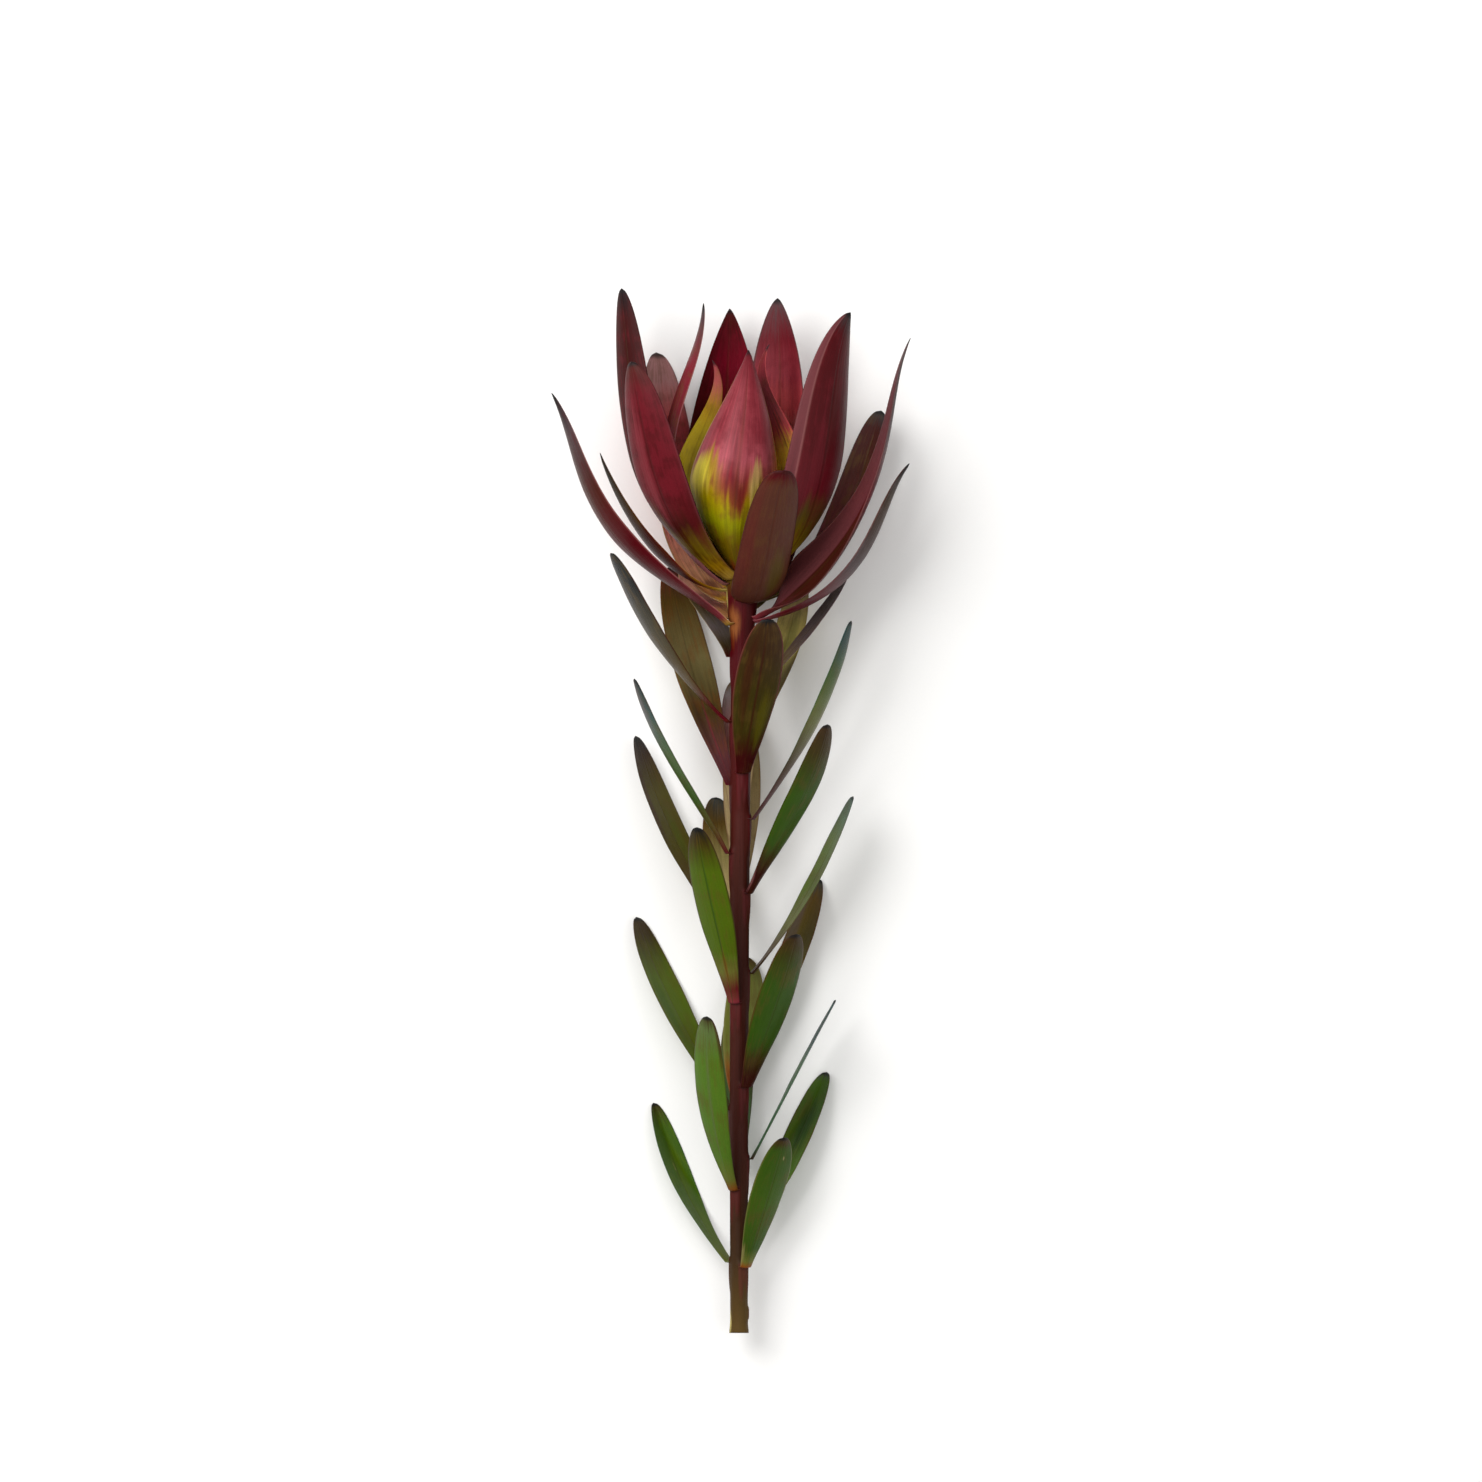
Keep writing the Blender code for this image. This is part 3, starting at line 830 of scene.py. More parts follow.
def line_mesh(
    name: str, points: Sequence[Vector], lines: Sequence[tuple[int, int]], values: dict[str, Sequence[Any]]
) -> bpy.types.Mesh:
    """A mesh of points and edges that carries values for a recipe.

    Args:
        name: its name.
        points: its points, in metres.
        lines: its edges.
        values: its attributes, one number or vector for each point.

    Returns:
        The mesh.
    """
    mesh = bpy.data.meshes.new(name)
    mesh.from_pydata([tuple(point) for point in points], list(lines), [])
    for label, numbers in values.items():
        if isinstance(numbers[0], Vector):
            made = mesh.attributes.new(label, VECTORS, "POINT")
            made.data.foreach_set("vector", [part for vector in numbers for part in vector])
        else:
            made = mesh.attributes.new(label, NUMBERS, "POINT")
            made.data.foreach_set("value", list(numbers))
    return mesh


def smooth_step(value: float) -> float:
    """A smooth step from 0 at 0 to 1 at 1."""
    value = min(1.0, max(0.0, value))
    return value * value * (3.0 - 2.0 * value)


def compass(angle: float) -> Vector:
    """The level direction at an angle from the right towards the back."""
    return Vector((math.cos(angle), math.sin(angle), 0.0))


def through(points: Sequence[Vector], share: float) -> Vector:
    """The point at a share of the way along a smooth curve.

    Args:
        points: even points of the curve.
        share: how far along it.

    Returns:
        The point.
    """
    last = len(points) - 1
    place = Vector((0.0, 0.0, 0.0))
    for i, point in enumerate(points):
        weight = math.prod((last * share - k) / (i - k) for k in range(last + 1) if k != i)
        place += weight * point
    return place


@dataclass(frozen=True)
class Blade:
    """One leaf or bract: it leaves the stem at node, and path is its midrib in even steps from there."""

    name: str
    node: float
    path: tuple[Triple, ...]
    width: float
    cup: float
    turn: float
    skin: Skin
    outline: Outline = Outline.LEAF
    fold: Fold | None = None
    turn_by: float = 0.5
    lift: float = 0.0
    around: int = 30
    rows: int = 56


@dataclass
class Stem:
    """The woody stem and the way that it lies; it carries the leaves, the bracts and the bud."""

    origin: Vector
    bark: Bark
    leaves: Sequence[Blade]
    length: float = 268.0
    radius_at_cut: float = 3.05
    radius_below_head: float = 3.6
    head_start: float = 236.0
    receptacle_radius: float = 5.7
    receptacle_height: float = 262.0
    receptacle_rounding: float = 0.6
    lean: float = 1.3
    climb: float = 0.0875
    cushion_rise: float = 0.75
    cushion_drop: float = 2.2
    cushion_length: float = 2.8
    cushion_spread: float = math.radians(26)
    cushion_end: float = 3.0
    rows: int = 420
    around: int = 56
    ridge_length: float = 13.0
    ridge_start: float = 0.8
    ridge_depths: tuple[float, float] = (0.15, -0.95)
    ridge_closing: float = 0.25
    ridge_steps: int = 8
    ridges: tuple[tuple[float, float], ...] = ((-0.46, 1.0), (0.46, 0.8), (0.0, 0.55))
    ridge_rise: float = 0.55
    furrow: float = 0.25
    flare: float = 0.35
    flare_height: float = 3.0
    knot: Triple = (-0.15, 5.6, 8.4)
    knot_rise: float = 0.3

    def laid(self, place: Sequence[float]) -> Vector:
        """A place measured right, behind and along the stem, in the upright frame."""
        right, behind, along = place
        return Vector((right, behind - self.climb * along, along))

    def world(self, place: Vector) -> Vector:
        """A place of the upright frame, laid down in the row's frame, in metres."""
        return self.origin + self.lie(place) * MM

    def lie(self, direction: Vector) -> Vector:
        """A direction of the upright frame, laid down."""
        return Vector((direction.x, direction.z, -direction.y))

    def axis(self, height: float) -> Vector:
        """The middle of the stem at a height."""
        return self.laid((self.lean * (height / self.length) ** 3, 0.0, height))

    def direction(self, blade: Blade) -> float:
        """The compass direction in which a blade leaves the stem."""
        right, behind, _ = blade.path[0]
        return math.atan2(behind, right - self.axis(blade.node).x)

    def plain_radius(self, height: float) -> float:
        """The stem's radius at a height, without its cushions.

        Args:
            height: the height above the cut.

        Returns:
            The radius in millimetres.
        """
        share = min(height, self.head_start) / self.head_start
        radius = self.radius_at_cut + (self.radius_below_head - self.radius_at_cut) * share
        swelling = smooth_step((height - self.head_start) / (self.receptacle_height - self.head_start))
        return radius + (self.receptacle_radius - self.radius_below_head) * swelling

    def radius(self, angle: float, height: float) -> float:
        """The stem's radius, with the cushions under the leaves.

        Args:
            angle: the compass direction.
            height: the height above the cut.

        Returns:
            The radius in millimetres.
        """
        radius = self.plain_radius(height)
        for leaf in self.leaves:
            along = (height - leaf.node + self.cushion_drop) / self.cushion_length
            if abs(along) < self.cushion_end:
                turn = math.remainder(angle - self.direction(leaf), math.tau) / self.cushion_spread
                radius += self.cushion_rise * math.exp(-0.5 * (along * along + turn * turn))
        return radius

    def skin_point(self, angle: float, height: float, rise: float) -> Vector:
        """A point over the stem's plain surface, or under it where rise is below zero."""
        return self.axis(height) + compass(angle) * (self.plain_radius(height) + rise)

    def ridge_lines(self) -> list[list[Vector]]:
        """The lines that run down from each leaf's foot and sink away under the bark, and the knot's.

        Returns:
            The points of each line.
        """
        lines = []
        for leaf in self.leaves:
            for hand, reach in self.ridges:
                line = []
                for step in range(self.ridge_steps + 1):
                    down = step / self.ridge_steps
                    height = leaf.node + self.ridge_start - self.ridge_length * reach * down
                    turn = self.direction(leaf) + hand * (1.0 - self.ridge_closing * down)
                    start, end = self.ridge_depths
                    line.append(self.skin_point(turn, height, start + (end - start) * down * down))
                lines.append(line)
        angle, *ends = self.knot
        lines.append([self.skin_point(angle, height, self.knot_rise) for height in ends])
        return lines

    def build(self, recipe: TwigRecipe) -> bpy.types.Object:
        """Grows the stem, with a ridge in its bark along each line.

        Args:
            recipe: the tree that sweeps it.

        Returns:
            The stem.
        """
        points, radii, alongs, edges = [], [], [], []
        for i in range(self.rows):
            height = self.length * i / (self.rows - 1)
            closing = max(0.0, (height - self.receptacle_height) / (self.length - self.receptacle_height))
            rounding = math.sqrt(1.0 - self.receptacle_rounding * closing * closing)
            points.append(self.world(self.axis(height)))
            flare = self.flare * math.exp(-((height / self.flare_height) ** 2))
            radii.append((self.plain_radius(height) * rounding + flare) * MM)
            alongs.append(height / self.length)
        for line in self.ridge_lines():
            edges += [(len(points) + k, len(points) + k + 1) for k in range(len(line) - 1)]
            points += [self.world(point) for point in line]
        extra = [0.0] * (len(points) - self.rows)
        flags = [0.0] * self.rows + [1.0] * len(extra)
        values = {"radius": radii + extra, "along": alongs + extra, "ridge_line": flags}
        return recipe.run("woody_stem", line_mesh("stem_axis", points, edges, values), {
            "Rows": self.rows, "Around": self.around, "Ridge Rise": self.ridge_rise * MM,
            "Furrow": self.furrow * MM, "Material": self.bark.material(),
        })


@dataclass
class Foliage:
    """The leaves and bracts, each swept along its own rib and coloured with its own skin; in millimetres."""

    stem: Stem
    blades: Sequence[Blade]
    gap: float = 0.3
    thickness: float = 0.8
    edge_thickness: float = 0.34
    step: float = 0.01
    root_rows: tuple[float, ...] = (-1.5, -0.8)
    end_crowding: float = 0.55
    foot_end: float = 0.12
    foot_thickening: float = 0.35
    lift_end: float = 0.2
    lift_fade: float = 0.35
    rim: float = 0.3
    rim_end: float = 0.03
    slimmest: float = 0.35
    slim_half: float = 1.2
    crease: float = 0.09
    wave: float = 0.5
    wave_seed: float = 3.7
    skin_seed: float = 2.3
    no_fold: float = 2.0

    def shares(self, blade: Blade) -> list[tuple[float, float]]:
        """Where a rib's points lie, closer together towards its ends.

        Args:
            blade: the leaf or bract.

        Returns:
            Each point's share of the length, and how far it is shifted out from the stem.
        """
        last = blade.rows - len(self.root_rows) - 1
        shares = [(0.0, shift) for shift in self.root_rows]
        for i in range(last + 1):
            even = i / last
            eased = 0.5 - 0.5 * math.cos(math.pi * even)
            shares.append(((1.0 - self.end_crowding) * even + self.end_crowding * eased, 0.0))
        return shares

    def rib(self, blade: Blade) -> bpy.types.Mesh:
        """The blade's rib, with the section's frame, width and cup at each of its points.

        Args:
            blade: the leaf or bract.

        Returns:
            The rib as a mesh of loose points.
        """
        stem = self.stem
        angle = stem.direction(blade)
        outward, tangential = compass(angle), Vector((-math.sin(angle), math.cos(angle), 0.0))
        foot = stem.axis(blade.node)
        foot += outward * (stem.radius(angle, blade.node) + self.gap + 0.5 * self.thickness)
        points = [foot] + [stem.laid(place) for place in blade.path]
        turn = math.radians(blade.turn) * (1.0 if tangential.y > 0 else -1.0)
        lift = math.copysign(math.radians(blade.lift), turn)
        rows = {label: [] for label in ("centre", "side", "inward", "half", "cup", "along", "body")}
        for along, shift in self.shares(blade):
            ahead = through(points, along + self.step) - through(points, along - self.step)
            ahead.normalize()
            side = (tangential - ahead * tangential.dot(ahead)).normalized()
            inward = ahead.cross(side)
            off_foot = smooth_step(along / self.foot_end)
            lifted = off_foot * (1.0 - smooth_step((along - self.lift_end) / self.lift_fade))
            rolled = turn * smooth_step(along / blade.turn_by) + lift * lifted
            half = 0.5 * blade.width * blade.outline.value.width(along)
            rim = self.rim * min(1.0, (1.0 - along) / self.rim_end + 0.5)
            thickening = 1.0 + self.foot_thickening * (1.0 - off_foot)
            row = (
                stem.world(through(points, along) + outward * shift),
                stem.lie(side * math.cos(rolled) + inward * math.sin(rolled)),
                stem.lie(inward * math.cos(rolled) - side * math.sin(rolled)),
                (half + rim) * MM,
                math.radians(blade.cup),
                along,
                min(1.0, self.slimmest + half / self.slim_half) * thickening,
            )
            for column, value in zip(rows.values(), row):
                column.append(value)
        return line_mesh(f"{blade.name}_rib", rows.pop("centre"), [], rows)

    def build(self, recipe: BladeRecipe) -> list[bpy.types.Object]:
        """Grows every blade.

        Args:
            recipe: the tree that sweeps them.

        Returns:
            The blades, in order.
        """
        pieces = []
        for k, blade in enumerate(self.blades):
            fold = blade.fold
            pieces.append(recipe.run(f"{blade.name}_fine", self.rib(blade), {
                "Rows": blade.rows, "Around": blade.around, "Middle": 0.5 * self.thickness * MM,
                "Edge": 0.5 * self.edge_thickness * MM, "Wave": self.wave * MM, "Crease": self.crease * MM,
                "Seed": self.wave_seed * k, "Fold Edge": fold.edge if fold else self.no_fold,
                "Fold Angle": math.radians(fold.angle) if fold else 0.0,
                "Material": blade.skin.material(blade.name, self.skin_seed * k, fold),
            }))
        return pieces


@dataclass
class Bud:
    """The closed bud: a core and the silky scales that cover it in a spiral."""

    stem: Stem
    foot: float = 268.5
    tip: float = 337.0
    radius: float = 12.6
    fullest: float = 0.8
    swell: float = 0.85
    bottom_share: float = 0.03
    top_share: float = 0.985
    core_share: float = 0.9
    rows: int = 120
    around: int = 32
    scales: int = 110
    scale_size: Triple = (3.6, 6.6, 0.42)
    tilt: float = 0.06

    def profile(self, share: float) -> float:
        """The bud's radius at a share of its height, in millimetres."""
        share = self.bottom_share + (self.top_share - self.bottom_share) * share
        return self.radius * math.sin(math.pi * share**self.fullest) ** self.swell

    def axis_mesh(self) -> bpy.types.Mesh:
        """The bud's axis, with its radius and the slope of its side at each point.

        Returns:
            The axis as a mesh of loose points.
        """
        points, values = [], {"radius": [], "slope": [], "along": [], "ridge_line": [0.0] * self.rows}
        step = 1.0 / (self.rows - 1)
        for i in range(self.rows):
            share = i * step
            height = self.foot + (self.tip - self.foot) * share
            points.append(self.stem.world(self.stem.laid((self.stem.lean, 0.0, height))))
            rise = self.profile(min(1.0, share + step)) - self.profile(max(0.0, share - step))
            values["radius"].append(self.profile(share) * self.core_share * MM)
            values["slope"].append(rise / (2.0 * step * (self.tip - self.foot)))
            values["along"].append(share)
        return line_mesh("bud_axis", points, [], values)

    def build(self, core: TwigRecipe, cover: ScaleRecipe) -> list[bpy.types.Object]:
        """Grows the bud.

        Args:
            core: the tree that sweeps the core.
            cover: the tree that lays the scales.

        Returns:
            The core and the scales.
        """
        skin = BudSkin().material()
        width, length, thickness = [part * MM for part in self.scale_size]
        return [
            core.run("bud_core", self.axis_mesh(), {
                "Rows": self.rows, "Around": self.around, "Ridge Rise": 0.0, "Furrow": 0.0, "Material": skin,
            }),
            cover.run("bud_scales", self.axis_mesh(), {
                "Rows": self.rows, "Count": self.scales, "Width": width, "Length": length,
                "Thickness": thickness, "Tilt": self.tilt, "Material": skin,
            }),
        ]


@dataclass(frozen=True)
class Lamp:
    """A soft square light: its place and side in metres, its power in watts, and where it aims."""

    name: str
    place: Triple
    side: float
    power: float
    aim: Triple

    def hang(self) -> None:
        """Puts the light in the scene."""
        light = bpy.data.lights.new(self.name, "AREA")
        light.size = self.side
        light.energy = self.power
        lamp = bpy.data.objects.new(self.name, light)
        lamp.location = self.place
        lamp.rotation_euler = (Vector(self.aim) - Vector(self.place)).to_track_quat("-Z", "Y").to_euler()
        bpy.context.scene.collection.objects.link(lamp)


@dataclass
class Studio:
    """The pale table, the soft lights and the camera that looks straight down."""

    origin: Vector
    height: float = 1.0
    table_half: float = 3.0
    sky: float = 0.3
    lamps: tuple[Lamp, ...] = (
        Lamp("key_light", (-0.6, 0.45, 0.9), 0.8, 12.5, (0.0, 0.05, 0.02)),
        Lamp("fill_light", (0.75, -0.35, 0.8), 1.1, 3.2, (0.0, 0.0, 0.02)),
        Lamp("top_light", (0.0, 0.1, 1.5), 1.6, 8.5, (0.0, 0.0, 0.0)),
    )

    def table(self) -> None:
        """The table that the stem lies on."""
        mesh = bpy.data.meshes.new("table")
        side = self.table_half
        corners = [(-side, -side, 0.0), (side, -side, 0.0), (side, side, 0.0), (-side, side, 0.0)]
        mesh.from_pydata(corners, [], [(0, 1, 2, 3)])
        paint = Paint("table_paper")
        grain = paint.noise(paint.object, 900.0)
        colour = paint.shade(paint.blend(0.0, T.TABLE, T.TABLE), (grain - 0.5) * 0.02 + 1.0)
        mesh.materials.append(paint.finish(colour, grain * 0.1 + 0.7, grain, 0.00002))
        table = bpy.data.objects.new("table", mesh)
        bpy.context.scene.collection.objects.link(table)

    def camera(self) -> None:
        """The camera over the table, framed as the photograph is."""
        data = bpy.data.cameras.new("camera")
        data.type = "ORTHO"
        data.ortho_scale = IMAGE_SIDE * PIXEL * MM
        camera = bpy.data.objects.new("camera", data)
        right = (0.5 * IMAGE_SIDE - STEM_PIXEL) * PIXEL * MM
        along = (CUT_PIXEL - 0.5 * IMAGE_SIDE) * PIXEL * MM
        camera.location = (self.origin.x + right, self.origin.y + along, self.height)
        bpy.context.scene.collection.objects.link(camera)
        bpy.context.scene.camera = camera

    def build(self) -> None:
        """Sets out the table, the camera, the lights and the sky."""
        self.table()
        self.camera()
        for lamp in self.lamps:
            lamp.hang()
        world = bpy.data.worlds.new("daylight")
        world.use_nodes = True
        sky = world.node_tree.nodes["Background"]
        sky.inputs["Color"].default_value = (1.0, 1.0, 1.0, 1.0)
        sky.inputs["Strength"].default_value = self.sky
        bpy.context.scene.world = world
        bpy.context.scene.view_settings.view_transform = "Standard"


# One row for each leaf, from the cut upwards, and one for each bract, from the lowest up. A row holds what a
# Blade does, in its order; the leaves' names come from their numbers.
LEAVES: tuple[tuple[Any, ...], ...] = (
    (23, ((7, -10, 37.6), (11.7, -18, 53), (15.8, -25, 68.4)), 13.7, 18, 0,
     Skin("0 RUST 5 KHAKI 15 FERN 50 MOSS 90 FERN 95 DARK_OLIVE 100 UMBER", margin=T.STRAW,
     # the pale patch on the margin at the foot is a painted highlight, where the margin catches the light
     marks=(Touch(0.84, 0.3, 0.02, 0.08, T.SAND, 0.6), Touch(0.1, -0.9, 0.12, 0.3, T.STRAW, 0.6)))),
    (25, ((-15.7, 9, 43.4), (-23.8, 15, 61.5), (-30, 19, 80.5)), 14.7, 14, 4,
     Skin("0 KHAKI 15 GRASS 40 MOSS 85 MOSS 100 UMBER", margin=T.TEAL, mottle=T.LEAF, mottle_share=0.5,
     marks=(Touch(0.55, -0.2, 0.3, 0.5, T.LEAF, 0.5), Touch(0.6, 0.1, 0.015, 0.08, T.SAND, 0.6)))),
    (35, ((13.4, 8, 52), (22.5, 14, 71.3), (30.8, 19, 91.3)), 15.8, 14, 6,
     Skin("0 KHAKI 20 FRESH 55 MOSS 75 FERN 95 MOSS 100 SLATE", marks=(Touch(0.68, -0.1, 0.2, 0.6, T.DEEP_FERN),
     Touch(0.5, 0.7, 0.4, 0.4, T.LEAF, 0.5)))),
    (50, ((-7.9, -14, 69.5), (-10.7, -23, 90), (-11.2, -30, 110.8)), 11.6, 20, 0,
     Skin("0 RUST 6 KHAKI 20 FRESH 75 FRESH 92 SAGE 100 UMBER", margin=T.MAROON, rib=T.SAGE, rib_share=0.5,
     marks=(Touch(0.9, 0.9, 0.3, 0.2, T.MAROON, 0.7), Touch(0.6, 0.0, 0.5, 0.2, T.SAGE, 0.35)))),
    (54, ((-1, 13, 74), (-0.8, 18.5, 96), (-0.4, 22, 117)), 11.4, 12, 0,
     Skin("0 KHAKI 30 SEA 70 SAGE 100 SAGE")),
    (61, ((14.1, 0.2, 79.2), (23.7, 0.2, 97.6), (33.8, 0, 116.6)), 13, 7, 3,
     Skin("0 BARK 8 SEA 60 SEA 75 DARK_TEAL 100 DARK_TEAL", margin=T.TEAL)),
    (78, ((-15.7, 9, 100.1), (-26.8, 15, 121.9), (-35.9, 21, 145.6)), 16.1, 14, 8,
     Skin("0 BRONZE 15 KHAKI 30 LEAF 70 LEAF 90 DARK_OLIVE 100 UMBER", mottle=T.OLIVE,
     marks=(Touch(0.55, 0.5, 0.25, 0.4, T.MOSS, 0.6),))),
    (86, ((8.4, -11, 102.5), (14.6, -19, 120.5), (20, -27, 139.6)), 15.3, 18, 0,
     Skin("0 MAROON 8 CHOCOLATE 20 DARK_OLIVE 30 FERN 70 FERN 92 DARK_OLIVE 100 UMBER")),
    (80.5, ((0, 12, 97), (2, 19, 115), (1.8, 22.5, 131.5)), 13, 14, 0,
     Skin("0 RUST 20 RUST 35 KHAKI 80 KHAKI 100 UMBER", margin=T.STRAW)),
    (96, ((12.1, 12.5, 115), (20.6, 19.5, 136), (28, 26, 159)), 13.7, 14, 0,
     Skin("0 KHAKI 40 GRASS 60 OLIVE 90 BRONZE 100 SLATE",
     marks=(Touch(0.75, 0.6, 0.25, 0.5, T.GREY_PLUM, 0.5),))),
    (115.5, ((-6, -13, 135), (-10.7, -23, 155.5), (-14.7, -32, 177)), 13.2, 18, 0,
     Skin("0 ROSE 8 CRIMSON 20 KHAKI 30 GRASS 75 GRASS 92 DARK_OLIVE 100 INK", margin=T.MAROON,
     margin_share=0.6, rib=T.DEEP_FERN, rib_share=0.7, marks=(Touch(0.22, 0.0, 0.15, 0.15, T.RUST, 0.6),))),
    (126, ((19.6, 3, 146.1), (31.1, 5, 166.9), (40, 6, 187.8)), 14.2, 14, 8,
     Skin("0 CHOCOLATE 15 BRONZE 30 KHAKI 50 GRASS 75 SAGE 100 TEAL", margin=T.CHOCOLATE)),
    (134, ((-4.6, 13, 153), (-7, 22, 171.5), (-8, 29, 187.5)), 12, 12, 0,
     Skin("0 KHAKI 30 SAND 55 STRAW 80 BRONZE 100 SLATE")),
    (137, ((-15.9, 9, 159.7), (-27, 15, 182.5), (-36.2, 21, 209)), 16.3, 14, 4,
     Skin("0 BRONZE 30 BRONZE 50 OLIVE 75 OLIVE 92 UMBER 100 INK", margin=T.MAROON,
     marks=(Touch(0.7, 0.8, 0.3, 0.3, T.CHOCOLATE, 0.6), Touch(0.45, -0.3, 0.3, 0.4, T.GRASS, 0.4)))),
    (154, ((14.1, -10.5, 172.6), (24.2, -17, 192.3), (31, -22, 213)), 12.8, 16, -8,
     Skin("0 MAROON 12 MAROON 22 DARK_OLIVE 32 FERN 60 FERN 85 DARK_OLIVE 100 UMBER", margin=T.MAROON,
     # the pale patch on the margin at the foot is a painted highlight, where the margin catches the light
     marks=(Touch(0.05, -0.9, 0.08, 0.3, T.PALE_ROSE, 0.6),))),
    (157, ((1, 13, 176), (1, 22, 196), (1, 28, 215)), 12.8, 12, 0, Skin("0 SAND 50 SAND 85 STRAW 100 BRONZE")),
    (168, ((-16.8, -4, 188.2), (-28.7, -6, 208.8), (-36.7, -7, 229)), 14.4, 12, 0,
     Skin("0 CRIMSON 12 BRONZE 30 FERN 55 FERN 80 DARK_TEAL 100 INK", margin=T.CHOCOLATE, margin_share=0.6,
     marks=(Touch(0.85, 0.0, 0.25, 0.6, T.GREY_PLUM, 0.5),))),
    (176, ((-0.3, 11, 193), (-0.5, 21, 212), (-1.2, 29, 228.5)), 11.5, 12, 0,
     Skin("0 SAND 40 SAND 60 PALE_ROSE 90 ASH 100 BRONZE")),
    (180, ((20.4, -2, 202.2), (31.9, -3, 225.1), (39.3, -3, 249.3)), 15.6, 14, -9,
     Skin("0 CRIMSON 12 DUSK_ROSE 30 BRONZE 50 KHAKI 75 FERN 90 DARK_TEAL 100 DARK_TEAL", margin=T.TEAL)),
    (192, ((-11.7, 11, 216), (-19, 21, 241.4), (-24.6, 30, 268)), 18.2, 14, 6,
     Skin("0 CRIMSON 15 DUSK_ROSE 35 BRONZE 60 STRAW 85 HAZEL 100 DUSK_ROSE", mottle=T.RUST, mottle_share=0.3,
     marks=(Touch(0.2, 0.0, 0.22, 0.14, T.ROSE), Touch(0.3, 0.5, 0.3, 0.3, T.CHOCOLATE, 0.4)))),
    (196, ((4.2, -15, 213.5), (7.4, -27, 231.5), (10.2, -36, 249.9)), 16.2, 16, 0,
     Skin("0 MAROON 12 MAROON 28 DARK_OLIVE 55 DARK_OLIVE 80 UMBER 95 UMBER 100 INK", margin=T.ROSE,
     rib=T.CHOCOLATE, rib_share=0.7, marks=(Touch(0.35, 0.5, 0.25, 0.4, T.OLIVE),
     Touch(0.6, -0.5, 0.4, 0.3, T.CHOCOLATE, 0.6)))),
    (205, ((11, 13, 225.5), (17.8, 22, 244.5), (21.7, 31, 266)), 13.6, 14, 0,
     Skin("0 STRAW 45 STRAW 70 CREAM 88 SAND 100 PALE_ROSE",
     marks=(Touch(0.6, -0.2, 0.3, 0.5, T.KHAKI, 0.5),))),
    (214, ((-22, -4, 232.9), (-35.2, -7, 253.4), (-44.9, -8, 273)), 16.6, 14, -10,
     Skin("0 CARMINE 10 CRIMSON 25 BRONZE 45 DARK_OLIVE 80 INK 100 INK", margin=T.CHOCOLATE, margin_share=0.8)),
    (222.5, ((17, 4, 236.4), (28.2, 6, 249.9), (38, 8, 265.3)), 12.8, 14, 4,
     Skin("0 DUSK_ROSE 30 BRONZE 50 GREY_PLUM 80 GREY_MAUVE 100 GREY_PLUM", margin=T.DUSK_ROSE)),
    (237, ((-8, 4, 247.2), (-15, 8, 256), (-22.2, 11, 263.4)), 12.8, 14, 10,
     Skin("0 CRIMSON 12 BRONZE 35 ASH 70 STRAW 100 SAND", margin=T.SAND), Outline.WEDGE),
)
